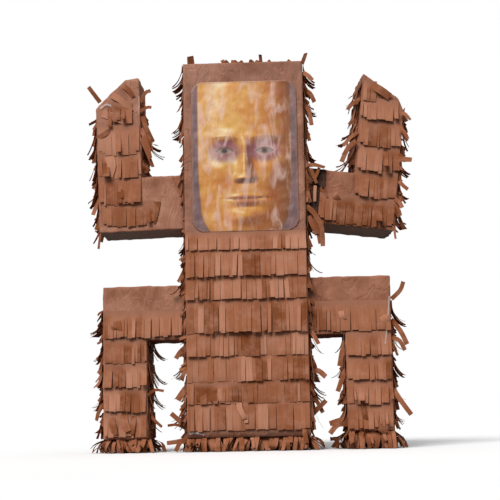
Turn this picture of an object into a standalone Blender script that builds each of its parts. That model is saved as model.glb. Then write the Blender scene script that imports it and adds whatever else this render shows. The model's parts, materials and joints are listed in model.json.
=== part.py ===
"""Cardboard box-figure pinata in brown crepe fringe: a tall body box, two raised arms, two bent legs,
a printed mask sheet on the head and a hinged fill flap in the back. Metres, +Z up, front toward -Y."""

import math

import bmesh
import bpy
from mathutils import Matrix, Vector

GAP = 0.0003
BOARD = 0.003

# Body box; its underside stands this far above the floor, on the bottom fringe
BODY_W = 0.192
BODY_D = 0.110
BODY_H = 0.600
BODY_Z = 0.0223

# Paper cover thickness on the sides, where the limbs are glued on, and on the front and back
SIDE_COVER = 0.0025
ROW_TOP = 0.003
ROW_BOTTOM = 0.006
ROOT_X = BODY_W / 2 + SIDE_COVER + 2 * GAP

# Heights above the body's underside of the fringe row edges, top down
ROW_EDGES = (0.324, 0.294, 0.251, 0.215, 0.162, 0.126, 0.086, 0.052, 0.010)
ROW_SPACE = 0.001

# Fill opening in the back panel, its flap and the paper tape hinge along its top
OPENING_W = 0.110
OPENING_H = 0.095
HINGE_Z = BODY_Z + 0.500
CUT = 0.001
HINGE_TAPE = 0.010
FLAP_COVER = 0.005

# Hanging holes in the top, with the doubler and the stick the cord goes round
HOLE_R = 0.003
HOLE_X = 0.035
STICK_R = 0.004
STICK_L = 0.130

# Printed sheet on the head
PRINT_W = 0.170
PRINT_H = 0.245
PRINT_Z = BODY_Z + 0.4464
PRINT_R = 0.020
PRINT_T = 0.0006
WRAP = 0.001

# Limbs
LIMB_D = 0.084
LIMB_COVER = 0.005
ARM_OUT = 0.139
ARM_H = 0.087

CARDBOARD = ("kraft_cardboard", (0.42, 0.27, 0.15), 0.9)
CREPE = ("brown_crepe", (0.33, 0.16, 0.10), 0.9)
CREPE_DARK = ("dark_brown_crepe", (0.24, 0.11, 0.06), 0.9)
WRAPPING = ("plain_crepe", (0.30, 0.15, 0.10), 0.85)
PRINT = ("printed_sheet", (0.62, 0.38, 0.12), 0.4)
WOOD = ("wood", (0.55, 0.38, 0.20), 0.65)
TAPE = ("paper_tape", (0.60, 0.44, 0.26), 0.6)


def material(kind):
    name, colour, roughness = kind
    found = bpy.data.materials.get(name)
    if found:
        return found
    made = bpy.data.materials.new(name)
    made.use_nodes = True
    shader = made.node_tree.nodes["Principled BSDF"]
    shader.inputs["Base Color"].default_value = (*colour, 1.0)
    shader.inputs["Roughness"].default_value = roughness
    shader.inputs["Metallic"].default_value = 0.0
    return made


def finish(name, bm, kind, place=(0, 0, 0), turn=0.0, smooth=False):
    bmesh.ops.recalc_face_normals(bm, faces=bm.faces)
    mesh = bpy.data.meshes.new(name)
    bm.to_mesh(mesh)
    bm.free()
    mesh.materials.append(material(kind))
    ob = bpy.data.objects.new(name, mesh)
    bpy.context.scene.collection.objects.link(ob)
    ob.location = place
    ob.rotation_euler = (0, 0, turn)
    if smooth:
        mesh.shade_smooth()
        mesh.set_sharp_from_angle(angle=math.radians(40))
    return ob


def soften(ob, width, segments=1):
    bevel = ob.modifiers.new("Edges", "BEVEL")
    bevel.width = width
    bevel.segments = segments
    bevel.limit_method = "ANGLE"
    bevel.angle_limit = math.radians(30)
    return ob


def board(name, size, place, kind=CARDBOARD, edge=0.0004):
    """A flat piece with slightly worn edges."""
    bm = bmesh.new()
    bmesh.ops.create_cube(bm, size=1.0)
    bmesh.ops.scale(bm, vec=Vector(size), verts=bm.verts)
    ob = finish(name, bm, kind, place)
    return soften(ob, edge) if edge else ob


def prism(outline, front, back):
    """An outline of (x, z) points, extruded from y = front to y = back."""
    bm = bmesh.new()
    face = bm.faces.new([bm.verts.new((x, front, z)) for x, z in outline])
    grown = bmesh.ops.extrude_face_region(bm, geom=[face])["geom"]
    verts = [v for v in grown if isinstance(v, bmesh.types.BMVert)]
    bmesh.ops.translate(bm, vec=(0, back - front, 0), verts=verts)
    return bm


def cut(ob, cutter, operation="DIFFERENCE"):
    cutter.hide_render = True
    cutter.display_type = "WIRE"
    boolean = ob.modifiers.new("Cut", "BOOLEAN")
    boolean.object = cutter
    boolean.operation = operation
    boolean.solver = "EXACT"


def cutter_box(name, size, place):
    return board(name, size, place, edge=0)


def rounded(width, depth, radius, steps=4):
    """Corner points of a rectangle with rounded corners, counter-clockwise."""
    points = []
    for corner, (sx, sy) in enumerate(((1, 1), (-1, 1), (-1, -1), (1, -1))):
        for step in range(steps + 1):
            angle = math.radians(90) * (corner + step / steps)
            points.append((
                sx * (width / 2 - radius) + radius * math.cos(angle),
                sy * (depth / 2 - radius) + radius * math.sin(angle),
            ))
    return points


def offset(points, distances):
    """An outline with each edge moved outward by its own distance, corners mitred.
    Edge i runs from point i to the next one; the outline is counter-clockwise."""
    count = len(points)
    lines = []
    for i, distance in enumerate(distances):
        a, b = Vector(points[i]), Vector(points[(i + 1) % count])
        along = (b - a).normalized()
        out = Vector((along.y, -along.x))
        lines.append((a + out * distance, along))
    moved = []
    for i in range(count):
        (p, d), (q, e) = lines[i - 1], lines[i]
        cross = d.x * e.y - d.y * e.x
        between = q - p
        t = (between.x * e.y - between.y * e.x) / cross
        moved.append(tuple(p + d * t))
    return moved


# ---------------------------------------------------------------- body box

TOP_Z = BODY_Z + BODY_H
FRONT_Y = -BODY_D / 2
BACK_Y = BODY_D / 2
INNER_W = BODY_W - 2 * BOARD - 2 * GAP
INNER_D = BODY_D - 2 * BOARD - 2 * GAP


def build_body():
    middle = BODY_Z + BODY_H / 2
    board("body_front_panel", (BODY_W, BOARD, BODY_H), (0, FRONT_Y + BOARD / 2, middle))
    back = board("body_back_panel", (BODY_W, BOARD, BODY_H), (0, BACK_Y - BOARD / 2, middle))
    cut(back, cutter_box("opening_cutter", (OPENING_W, 0.02, OPENING_H), (0, BACK_Y, HINGE_Z - OPENING_H / 2)))
    for side, name in ((-1, "left"), (1, "right")):
        board(f"body_{name}_panel", (BOARD, INNER_D, BODY_H), (side * (BODY_W - BOARD) / 2, 0, middle))
    board("body_bottom_panel", (INNER_W, INNER_D, BOARD), (0, 0, BODY_Z + BOARD / 2))
    top = board("body_top_panel", (INNER_W, INNER_D, BOARD), (0, 0, TOP_Z - BOARD / 2))
    doubler_z = TOP_Z - BOARD - GAP - BOARD / 2
    doubler = board("hanger_doubler", (0.150, 0.080, BOARD), (0, 0, doubler_z))
    holes = []
    for side in (-1, 1):
        bm = bmesh.new()
        bmesh.ops.create_cone(bm, cap_ends=True, segments=20, radius1=HOLE_R, radius2=HOLE_R, depth=0.03)
        name = f"hole_cutter_{'l' if side < 0 else 'r'}"
        holes.append(finish(name, bm, CARDBOARD, (side * HOLE_X, 0, TOP_Z - 0.005)))
    for piece in (top, doubler):
        for hole in holes:
            cut(piece, hole)
    bm = bmesh.new()
    bmesh.ops.create_cone(bm, cap_ends=True, segments=24, radius1=STICK_R, radius2=STICK_R, depth=STICK_L)
    bmesh.ops.rotate(bm, matrix=Matrix.Rotation(math.radians(90), 3, "Y"), verts=bm.verts)
    stick_z = doubler_z - BOARD / 2 - GAP - STICK_R
    soften(finish("hanger_stick", bm, WOOD, (0, 0, stick_z), smooth=True), 0.0006, 2)
    return holes


def build_flap():
    """The flap and its cover are built about the hinge line, along the top outer edge of the opening."""
    hinge = (0, BACK_Y, HINGE_Z)
    half = BOARD / 2
    flap_w = OPENING_W - 2 * CUT
    flap_h = OPENING_H - CUT - GAP

    def hung(name, size, place, kind, edge=0.0004):
        bm = bmesh.new()
        bmesh.ops.create_cube(bm, size=1.0)
        bmesh.ops.scale(bm, vec=Vector(size), verts=bm.verts)
        bmesh.ops.translate(bm, vec=Vector(place), verts=bm.verts)
        return soften(finish(name, bm, kind, hinge), edge)

    hung("fill_flap", (flap_w, BOARD, flap_h), (0, -half, -GAP - flap_h / 2), CARDBOARD)
    cover_h = flap_h - HINGE_TAPE - GAP
    cover_y = GAP + FLAP_COVER / 2
    hung("flap_fringe", (flap_w, FLAP_COVER, cover_h), (0, cover_y, -flap_h - GAP + cover_h / 2), CREPE, 0.001)
    tape_t = 0.0005
    hung("flap_hinge_tape", (flap_w, tape_t, 2 * HINGE_TAPE - GAP), (0, GAP + tape_t / 2, 0), TAPE, 0.0001)
    tab_y = GAP + ROW_BOTTOM + GAP + tape_t / 2
    hung("flap_tape_tab", (0.036, tape_t, 0.050), (0, tab_y, -flap_h), TAPE, 0.0001)


# ---------------------------------------------------------------- paper on the body

def build_row(name, top, bottom, kind):
    """One strip of fringe glued round the body: closest at its glued top, fuller at its cut bottom."""
    inner = rounded(BODY_W + 2 * GAP, BODY_D + 2 * GAP, 0.0004, 1)
    bm = bmesh.new()
    loops = []
    for z, full in ((bottom, ROW_BOTTOM), (top, ROW_TOP)):
        outer = rounded(BODY_W + 2 * (GAP + SIDE_COVER), BODY_D + 2 * (GAP + full), 0.002, 1)
        loops.append([[bm.verts.new((x, y, z)) for x, y in ring] for ring in (inner, outer)])
    (low_in, low_out), (high_in, high_out) = loops
    for a, b in ((low_out, high_out), (high_in, low_in), (low_in, low_out), (high_out, high_in)):
        for i in range(len(a)):
            j = (i + 1) % len(a)
            bm.faces.new((a[i], a[j], b[j], b[i]))
    return finish(name, bm, kind)


def build_body_paper(holes):
    for i, (top, bottom) in enumerate(zip(ROW_EDGES, ROW_EDGES[1:])):
        kind = CREPE if i % 2 else CREPE_DARK
        build_row(f"torso_fringe_row_{i + 1}", BODY_Z + top - ROW_SPACE, BODY_Z + bottom, kind)

    head_z = BODY_Z + ROW_EDGES[0]
    face_y = FRONT_Y - GAP - WRAP
    lid_z = TOP_Z + GAP + WRAP
    section = ((face_y, head_z), (FRONT_Y - GAP, head_z), (FRONT_Y - GAP, TOP_Z + GAP),
               (BACK_Y, TOP_Z + GAP), (BACK_Y, lid_z), (face_y, lid_z))
    bm = bmesh.new()
    face = bm.faces.new([bm.verts.new((-BODY_W / 2, y, z)) for y, z in section])
    grown = bmesh.ops.extrude_face_region(bm, geom=[face])["geom"]
    verts = [v for v in grown if isinstance(v, bmesh.types.BMVert)]
    bmesh.ops.translate(bm, vec=(BODY_W, 0, 0), verts=verts)
    wrap = finish("head_wrap", bm, WRAPPING)
    for hole in holes:
        cut(wrap, hole)

    outer_w = BODY_W + 2 * (GAP + SIDE_COVER)
    head_h = TOP_Z - head_z
    cover = board("head_fringe", (outer_w, BODY_D + GAP + ROW_BOTTOM, head_h),
                  (0, (GAP + ROW_BOTTOM) / 2, head_z + head_h / 2), CREPE, 0)
    cut(cover, cutter_box("head_cutter", (BODY_W + 2 * GAP, BODY_D + 0.02 + GAP, head_h + 0.02),
                          (0, (GAP - 0.02) / 2, head_z + head_h / 2)))
    window_top = HINGE_Z + HINGE_TAPE + 0.0025
    window_bottom = HINGE_Z - OPENING_H - 0.001
    cut(cover, cutter_box("window_cutter", (OPENING_W + 0.002, 0.03, window_top - window_bottom),
                          (0, BACK_Y + 0.005, (window_top + window_bottom) / 2)))

    bm = prism(rounded(PRINT_W, PRINT_H, PRINT_R, 6), -PRINT_T / 2, PRINT_T / 2)
    finish("face_print", bm, PRINT, (0.001, face_y - GAP - PRINT_T / 2, PRINT_Z))


def pad(name, centre, size, kind=CREPE_DARK):
    """Bottom fringe pressed flat between a box and the floor."""
    bm = bmesh.new()
    face = bm.faces.new([bm.verts.new((x, y, 0)) for x, y in rounded(size[0], size[1], 0.008, 3)])
    grown = bmesh.ops.extrude_face_region(bm, geom=[face])["geom"]
    verts = [v for v in grown if isinstance(v, bmesh.types.BMVert)]
    bmesh.ops.translate(bm, vec=(0, 0, size[2]), verts=verts)
    return finish(name, bm, kind, (centre[0], centre[1], 0))


# ---------------------------------------------------------------- limbs

def limb_prism(outline, side, front, back, turn, droop):
    """A limb outline extruded in depth, its root end cut to lie along the body's side."""
    points = [(side * x, z) for x, z in outline]
    bm = prism(points, front, back)
    for v in bm.verts:
        if abs(v.co.x) < 1e-6:
            slide = v.co.y * math.tan(turn)
            v.co.x = slide
            v.co.z -= side * slide * math.tan(droop)
    return bm


def build_limb(name, side, outline, edges, turn=0.0, droop=0.0, open_edge=None):
    """outline is counter-clockwise in (outward, up), and its last edge is the root against the body."""
    place = (side * ROOT_X, 0, 0)
    half = LIMB_D / 2
    count = len(outline)
    for end, front, back in (("front", -half, -half + BOARD), ("back", half - BOARD, half)):
        bm = limb_prism(outline, side, front, back, turn, droop)
        soften(finish(f"{name}_{end}_panel", bm, CARDBOARD, place, turn), 0.0004)

    inner = offset(outline, [-BOARD] * (count - 1) + [0])
    reach = half - BOARD - GAP
    for first, last, label in edges:
        run = list(range(first, last + 1))
        strip = [outline[i % count] for i in run] + [inner[i % count] for i in reversed(run)]
        trimmed = [Vector(p) for p in strip]
        n = len(run)
        for a, b in ((0, 1), (n - 1, n - 2), (n, n + 1), (2 * n - 1, 2 * n - 2)):
            if run[a if a < n else 2 * n - 1 - a] % count in (0, count - 1) and abs(trimmed[a].x) < 1e-6:
                continue
            trimmed[a] += (trimmed[b] - trimmed[a]).normalized() * GAP
        bm = limb_prism([tuple(p) for p in trimmed], side, -reach, reach, turn, droop)
        soften(finish(f"{name}_{label}", bm, CARDBOARD, place, turn), 0.0004)

    grow = [GAP + LIMB_COVER] * (count - 1) + [0]
    hollow = [GAP] * (count - 1) + [0.02]
    if open_edge is not None:
        grow[open_edge] = 0
        hollow[open_edge] = 0.02
    bm = limb_prism(offset(outline, grow), side, -half - GAP - LIMB_COVER, half + GAP + LIMB_COVER, turn, droop)
    cover = finish(f"{name}_cover", bm, CREPE, place, turn)
    bm = limb_prism(offset(outline, hollow), side, -half - GAP, half + GAP, turn, droop)
    cut(cover, finish(f"{name}_cutter", bm, CREPE, place, turn))


def drooped(points, droop, lift):
    """Arm outline turned outward and down about its lower root corner, its root edge kept upright."""
    cos, sin = math.cos(droop), math.sin(droop)
    turned = [Vector((x * cos + z * sin, z * cos - x * sin)) for x, z in points]
    shift = ROOT_X - BODY_W / 2
    for root, next_one in ((0, 1), (-1, -2)):
        a, b = turned[root], turned[next_one]
        slope = (b.y - a.y) / (b.x - a.x)
        turned[root] = Vector((shift, b.y + slope * (shift - b.x)))
    return [(p.x - shift, p.y + lift) for p in turned]


ARM_EDGES = ((0, 1, "under_panel"), (1, 2, "outer_panel"), (2, 4, "tip_panel"),
             (4, 5, "inner_panel"), (5, 6, "shoulder_panel"))
LEG_EDGES = ((0, 1, "thigh_under_panel"), (1, 2, "shin_inner_panel"), (2, 3, "sole_panel"),
             (3, 4, "outer_panel"), (4, 5, "thigh_top_panel"))


def build_arms():
    left = ((0, 0), (ARM_OUT, 0), (ARM_OUT, 0.205), (0.090, 0.2505), (0.068, 0.252), (0.068, ARM_H), (0, ARM_H))
    right = ((0, 0), (ARM_OUT, 0), (ARM_OUT, 0.198), (0.129, 0.218), (0.069, 0.253), (0.068, ARM_H), (0, ARM_H))
    for name, side, points, lift, droop, turn in (
        ("left_arm", -1, left, 0.333, 1.5, 0.0),
        ("right_arm", 1, right, 0.339, 6.4, 6.0),
    ):
        droop, turn = math.radians(droop), math.radians(turn)
        build_limb(name, side, drooped(points, droop, BODY_Z + lift), ARM_EDGES, turn, droop)


def build_legs():
    for name, side, out, inner, sole, under, top in (
        ("left_leg", -1, 0.2300, 0.1604, 0.0, 0.1550, 0.2405),
        ("right_leg", 1, 0.2270, 0.1548, 0.0064, 0.1586, 0.2490),
    ):
        out, inner = out - ROOT_X, inner - ROOT_X
        sole, under, top = BODY_Z + sole, BODY_Z + under, BODY_Z + top
        outline = ((0, under), (inner, under), (inner, sole), (out, sole), (out, top), (0, top))
        build_limb(name, side, outline, LEG_EDGES, open_edge=2)
        middle = side * (ROOT_X + (out + inner) / 2)
        pad(f"{name}_foot_tuft", (middle, 0), (out - inner + 0.010, LIMB_D + 0.010, sole - GAP))


for ob in list(bpy.data.objects):
    bpy.data.objects.remove(ob, do_unlink=True)

hanging_holes = build_body()
build_flap()
build_body_paper(hanging_holes)
pad("body_skirt", (0, 0), (BODY_W + 0.008, BODY_D + 0.010, BODY_Z - GAP))
build_arms()
build_legs()
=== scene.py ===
import json
import math
import random

import bmesh
import bpy
import numpy as np
from bpy.props import FloatProperty, FloatVectorProperty, IntProperty, PointerProperty
from bpy.types import Operator, Panel, PropertyGroup
from mathutils import Matrix, Vector, noise


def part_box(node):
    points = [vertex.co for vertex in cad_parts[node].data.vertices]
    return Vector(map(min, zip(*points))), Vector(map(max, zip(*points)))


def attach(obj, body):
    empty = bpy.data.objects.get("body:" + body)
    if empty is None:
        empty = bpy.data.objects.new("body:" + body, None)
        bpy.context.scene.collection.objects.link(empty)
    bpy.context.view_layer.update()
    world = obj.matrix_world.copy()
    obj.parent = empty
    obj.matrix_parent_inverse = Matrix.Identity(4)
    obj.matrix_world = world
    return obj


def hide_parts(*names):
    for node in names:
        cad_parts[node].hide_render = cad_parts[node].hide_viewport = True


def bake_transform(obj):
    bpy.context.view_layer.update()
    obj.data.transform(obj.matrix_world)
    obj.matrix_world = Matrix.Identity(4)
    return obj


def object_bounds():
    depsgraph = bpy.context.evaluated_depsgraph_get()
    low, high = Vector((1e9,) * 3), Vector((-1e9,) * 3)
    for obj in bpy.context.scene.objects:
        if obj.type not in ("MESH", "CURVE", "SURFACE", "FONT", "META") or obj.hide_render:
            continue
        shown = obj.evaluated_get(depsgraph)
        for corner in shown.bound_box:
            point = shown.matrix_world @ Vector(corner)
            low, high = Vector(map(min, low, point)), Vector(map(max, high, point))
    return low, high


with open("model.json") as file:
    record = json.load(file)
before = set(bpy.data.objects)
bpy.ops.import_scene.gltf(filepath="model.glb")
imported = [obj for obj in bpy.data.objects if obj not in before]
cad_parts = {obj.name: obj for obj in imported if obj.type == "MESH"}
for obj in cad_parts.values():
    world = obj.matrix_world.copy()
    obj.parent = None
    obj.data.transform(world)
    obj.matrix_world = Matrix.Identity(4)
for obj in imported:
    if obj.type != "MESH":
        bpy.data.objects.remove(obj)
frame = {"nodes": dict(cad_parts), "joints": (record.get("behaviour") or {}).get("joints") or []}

bl_info = {
    "name": "Box-figure pinata",
    "version": (1, 0, 0),
    "blender": (4, 5, 0),
    "location": "View3D > Sidebar > Pinata",
    "description": "Crepe fringe, wrapping, printed face sheet and tape of a cardboard box-figure pinata",
    "category": "Object",
}

CAD_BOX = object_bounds()

# The body box, from its panels
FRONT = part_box("body_front_panel")
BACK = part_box("body_back_panel")
HALF_W = FRONT[1].x
FRONT_Y = FRONT[0].y
BACK_Y = BACK[1].y
BASE_Z = FRONT[0].z
TOP_Z = FRONT[1].z
HEAD_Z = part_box("head_wrap")[0].z
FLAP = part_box("fill_flap")
HINGE_Z = frame["joints"][0]["pos_m"][2]
ROOT_X = 0.0991  # where the limbs start, out from the middle
LIMB_HALF = 0.042  # half of a limb's depth
HOLES_X = (-0.035, 0.035)  # the two hanging holes
OVERHANG = 0.011  # how far loose paper may pass the CAD box


def tone(red, green, blue):
    """A paint-chart colour from 0 to 255 as the linear values that materials take."""
    values = [c / 255 for c in (red, green, blue)]
    return tuple(c / 12.92 if c <= 0.04045 else ((c + 0.055) / 1.055) ** 2.4 for c in values)


# ---------------------------------------------------------------- settings


class PinataPaperSettings(PropertyGroup):
    pale: FloatVectorProperty(name="Pale crepe", description="Faded, pinkish tabs", subtype="COLOR",
                              min=0, max=1, default=tone(190, 132, 104))
    middle: FloatVectorProperty(name="Middle crepe", description="Most of the tabs", subtype="COLOR",
                                min=0, max=1, default=tone(162, 101, 70))
    # The deep colour also serves as painted shade: curled tabs are tinted towards it.
    deep: FloatVectorProperty(name="Deep crepe", description="Fresh or curled tabs", subtype="COLOR",
                              min=0, max=1, default=tone(128, 70, 36))
    wrap: FloatVectorProperty(name="Plain wrapping", description="Uncut crepe on the head, arms and thighs",
                              subtype="COLOR", min=0, max=1, default=tone(160, 110, 88))
    tab_width: FloatProperty(name="Tab width", description="Usual width of one cut tab", default=0.0085,
                             min=0.003, max=0.03, unit="LENGTH")
    thickness: FloatProperty(name="Paper thickness", description="Thickness of the doubled crepe",
                             default=0.0003, min=0.0001, max=0.002, unit="LENGTH")


class PinataPrintSettings(PropertyGroup):
    gold: FloatVectorProperty(name="Gold", description="Middle colour of the printed mask", subtype="COLOR",
                              min=0, max=1, default=tone(208, 150, 70))
    shadow: FloatVectorProperty(name="Eye shadow", description="Mauve paint round the eyes", subtype="COLOR",
                                min=0, max=1, default=tone(130, 74, 96))
    steps: IntProperty(name="Sheet detail", description="Cells across the sheet", default=150, min=20, max=260)


class PinataStageSettings(PropertyGroup):
    distance: FloatProperty(name="Camera distance", description="From the camera to the body", default=1.95,
                            min=0.5, max=6, unit="LENGTH")
    camera_height: FloatProperty(name="Camera height", description="Above the floor", default=0.05,
                                 min=0.02, max=2, unit="LENGTH")
    key_power: FloatProperty(name="Key light", description="Strength of the soft front light", default=2.85,
                             min=0, max=20)
    world_level: FloatProperty(name="Fill", description="Strength of the surrounding light", default=0.45,
                               min=0, max=2)


# ---------------------------------------------------------------- materials


def new_material(name):
    made = bpy.data.materials.new(name)
    made.use_nodes = True
    tree = made.node_tree
    return made, tree, tree.nodes["Principled BSDF"]


def node(tree, kind, **values):
    made = tree.nodes.new(kind)
    for key, value in values.items():
        setattr(made, key, value)
    return made


def ramp(tree, source, stops):
    """A colour ramp through (position, colour) stops."""
    made = node(tree, "ShaderNodeValToRGB")
    elements = made.color_ramp.elements
    while len(elements) < len(stops):
        elements.new(0.5)
    for element, (place, colour) in zip(elements, stops):
        element.position = place
        element.color = (*colour[:3], 1)
    tree.links.new(source, made.inputs["Fac"])
    return made.outputs["Color"]


def grey(value):
    return (value, value, value)


def mixed(tree, kind, share, first, second):
    made = node(tree, "ShaderNodeMix", data_type="RGBA", blend_type=kind)
    for socket, value in ((0, share), (6, first), (7, second)):
        if isinstance(value, bpy.types.NodeSocket):
            tree.links.new(value, made.inputs[socket])
        elif socket == 0:
            made.inputs[0].default_value = value
        else:
            made.inputs[socket].default_value = (*value[:3], 1)
    return made.outputs[2]


def texture(tree, kind, where, scale, **settings):
    """A pattern read at coordinates that are stretched by scale, a number or three of them."""
    mapping = node(tree, "ShaderNodeMapping")
    mapping.inputs["Scale"].default_value = scale if isinstance(scale, tuple) else (scale,) * 3
    tree.links.new(where, mapping.inputs["Vector"])
    made = node(tree, kind)
    for key, value in settings.items():
        if key in made.inputs:
            made.inputs[key].default_value = value
        else:
            setattr(made, key, value)
    tree.links.new(mapping.outputs["Vector"], made.inputs["Vector"])
    return made


def object_place(tree):
    return node(tree, "ShaderNodeTexCoord").outputs["Object"]


def bumped(tree, shader, height, strength, distance, normal=None):
    made = node(tree, "ShaderNodeBump")
    made.inputs["Strength"].default_value = strength
    made.inputs["Distance"].default_value = distance
    tree.links.new(height, made.inputs["Height"])
    if normal:
        tree.links.new(normal, made.inputs["Normal"])
    tree.links.new(made.outputs["Normal"], shader.inputs["Normal"])
    return made.outputs["Normal"]


def crepe_material(paper):
    """Cut crepe: each tab has its own tint, with streaks along the grain and blotches where it has faded."""
    made, tree, shader = new_material("cut_crepe")
    tint = node(tree, "ShaderNodeAttribute", attribute_name="tint").outputs["Fac"]
    along = node(tree, "ShaderNodeAttribute", attribute_name="along").outputs["Fac"]
    flat = node(tree, "ShaderNodeUVMap", uv_map="Paper").outputs["UV"]
    where = object_place(tree)
    base = ramp(tree, tint, ((0, paper.deep), (0.45, paper.middle), (1, paper.pale)))
    streak = texture(tree, "ShaderNodeTexNoise", flat, (420, 22, 1), Scale=1, Detail=4, Roughness=0.6)
    base = mixed(tree, "MULTIPLY", 0.8, base, ramp(tree, streak.outputs["Fac"], ((0.3, grey(0.78)), (0.7, grey(1.12)))))
    blotch = texture(tree, "ShaderNodeTexNoise", where, 55, Scale=1, Detail=3, Roughness=0.6)
    share = ramp(tree, blotch.outputs["Fac"], ((0.46, grey(0)), (0.72, grey(0.55))))
    base = mixed(tree, "MIX", share, base, tone(184, 130, 106))
    glued = ramp(tree, along, ((0.02, grey(0.85)), (0.3, grey(0))))
    base = mixed(tree, "MIX", glued, base, paper.wrap)
    edge = ramp(tree, along, ((0, grey(0.98)), (0.3, grey(1.0)), (0.8, grey(1.0)), (1, grey(0.86))))
    base = mixed(tree, "MULTIPLY", 1, base, edge)
    tree.links.new(base, shader.inputs["Base Color"])
    shader.inputs["Roughness"].default_value = 0.82
    shader.inputs["Specular IOR Level"].default_value = 0.2
    crinkle = texture(tree, "ShaderNodeTexNoise", flat, (900, 160, 1), Scale=1, Detail=3, Roughness=0.6)
    fold = texture(tree, "ShaderNodeTexNoise", flat, (120, 30, 1), Scale=1, Detail=2)
    height = mixed(tree, "ADD", 0.6, crinkle.outputs["Color"], fold.outputs["Color"])
    bumped(tree, shader, height, 0.55, 0.0009)
    return made


def wrap_material(paper):
    """Uncut crepe pulled round a box: faded patches and soft creases, with painted shade along the crease lines and in
    the hollows of the wrinkles, painted light on the ridges, the figure's left side painted lighter and its right side
    darker, and a grey underside on the arms, partly raw board and partly painted shade.
    """
    made, tree, shader = new_material("pulled_crepe")
    where = object_place(tree)
    blotch = texture(tree, "ShaderNodeTexNoise", where, 22, Scale=1, Detail=5, Roughness=0.6)
    colours = ((0.3, tone(134, 84, 60)), (0.5, paper.wrap), (0.72, tone(180, 130, 107)))
    base = ramp(tree, blotch.outputs["Fac"], colours)
    fibre = texture(tree, "ShaderNodeTexNoise", where, (700, 700, 90), Scale=1, Detail=3)
    base = mixed(tree, "MULTIPLY", 0.7, base, ramp(tree, fibre.outputs["Fac"], ((0.3, grey(0.84)), (0.7, grey(1.1)))))
    # Painted shade along the creases: a ridged pattern paints thin dark lines with lighter bands beside them; the same
    # pattern is the bump height.
    crease = texture(tree, "ShaderNodeTexNoise", where, (26, 26, 13), Scale=1, Detail=2.5, Roughness=0.5, Distortion=1.4)
    crease_shade_and_height = ramp(tree, crease.outputs["Fac"], ((0.34, grey(0.5)), (0.44, grey(0.95)), (0.485, grey(0.45)),
                                                 (0.53, grey(1.0)), (0.68, grey(0.55))))
    base = mixed(tree, "MULTIPLY", 0.13, base, crease_shade_and_height)
    # Painted light and shade by side: the wrapping on the figure's left (x below -0.11 m) is painted lighter, the
    # middle a little darker, and the right (x above 0.11 m) darker and more orange, as if lit from the left.
    sideways = node(tree, "ShaderNodeSeparateXYZ")
    tree.links.new(where, sideways.inputs[0])
    side_light_place = node(tree, "ShaderNodeMath", operation="ADD")
    tree.links.new(sideways.outputs["X"], side_light_place.inputs[0])
    side_light_place.inputs[1].default_value = 0.5
    base = mixed(tree, "MULTIPLY", 1, base, ramp(tree, side_light_place.outputs[0], (
        (0.39, (1.14, 1.12, 1.10)), (0.41, grey(0.94)), (0.59, grey(0.94)), (0.61, (0.92, 0.80, 0.70)))))
    # Painted shade and light on the wrinkles: from the crease layer, the hollows are painted darker and the ridges
    # lighter.
    shade = node(tree, "ShaderNodeAttribute", attribute_name="crease").outputs["Fac"]
    base = mixed(tree, "MULTIPLY", 1, base, ramp(tree, shade, ((0.1, grey(0.84)), (0.5, grey(0.98)), (0.9, grey(1.12)))))
    # The arms' undersides, where the crease layer is 0, are painted grey: partly raw board, partly painted shade under
    # the arms.
    raw_board_and_shade = ramp(tree, shade, ((0.01, grey(1)), (0.05, grey(0))))
    base = mixed(tree, "MIX", raw_board_and_shade, base, tone(158, 154, 150))
    tree.links.new(base, shader.inputs["Base Color"])
    shader.inputs["Roughness"].default_value = 0.72
    shader.inputs["Specular IOR Level"].default_value = 0.3
    normal = bumped(tree, shader, crease_shade_and_height, 0.42, 0.0028)
    bumped(tree, shader, fibre.outputs["Fac"], 0.35, 0.0006, normal)
    return made


def board_material():
    """Kraft board: long fibres, faint ribs from the corrugation and darker specks."""
    made, tree, shader = new_material("kraft_board")
    where = object_place(tree)
    fibre = texture(tree, "ShaderNodeTexNoise", where, (90, 90, 600), Scale=1, Detail=6, Roughness=0.7)
    base = ramp(tree, fibre.outputs["Fac"], ((0.3, tone(140, 96, 66)), (0.7, tone(178, 130, 94))))
    speck = texture(tree, "ShaderNodeTexNoise", where, 1400, Scale=1, Detail=1)
    base = mixed(tree, "MULTIPLY", 0.8, base, ramp(tree, speck.outputs["Fac"], ((0.3, grey(0.6)), (0.42, grey(1)))))
    tree.links.new(base, shader.inputs["Base Color"])
    shader.inputs["Roughness"].default_value = 0.88
    rib = texture(tree, "ShaderNodeTexWave", where, (1, 1, 1), Scale=42, Distortion=0.4, bands_direction="X")
    normal = bumped(tree, shader, rib.outputs["Fac"], 0.25, 0.0008)
    bumped(tree, shader, fibre.outputs["Fac"], 0.2, 0.0004, normal)
    return made


def painted_shade_material():
    """Dark crepe for the gap beside the arm: painted shade that stands for the shadow deep in that recess."""
    made, tree, shader = new_material("painted_shade_crepe")
    where = object_place(tree)
    shade_patches = texture(tree, "ShaderNodeTexNoise", where, (160, 160, 60), Scale=1, Detail=4, Roughness=0.6)
    base = ramp(tree, shade_patches.outputs["Fac"], ((0.3, tone(34, 25, 21)), (0.7, tone(84, 60, 48))))
    tree.links.new(base, shader.inputs["Base Color"])
    shader.inputs["Roughness"].default_value = 0.9
    shader.inputs["Specular IOR Level"].default_value = 0.1
    bumped(tree, shader, shade_patches.outputs["Fac"], 0.5, 0.001)
    return made


def wood_material():
    made, tree, shader = new_material("dowel_wood")
    where = object_place(tree)
    grain = texture(tree, "ShaderNodeTexNoise", where, (16, 420, 420), Scale=1, Detail=6, Roughness=0.65)
    base = ramp(tree, grain.outputs["Fac"], ((0.3, tone(160, 118, 74)), (0.65, tone(210, 174, 124))))
    tree.links.new(base, shader.inputs["Base Color"])
    shader.inputs["Roughness"].default_value = 0.6
    bumped(tree, shader, grain.outputs["Fac"], 0.3, 0.0004)
    return made


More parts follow.
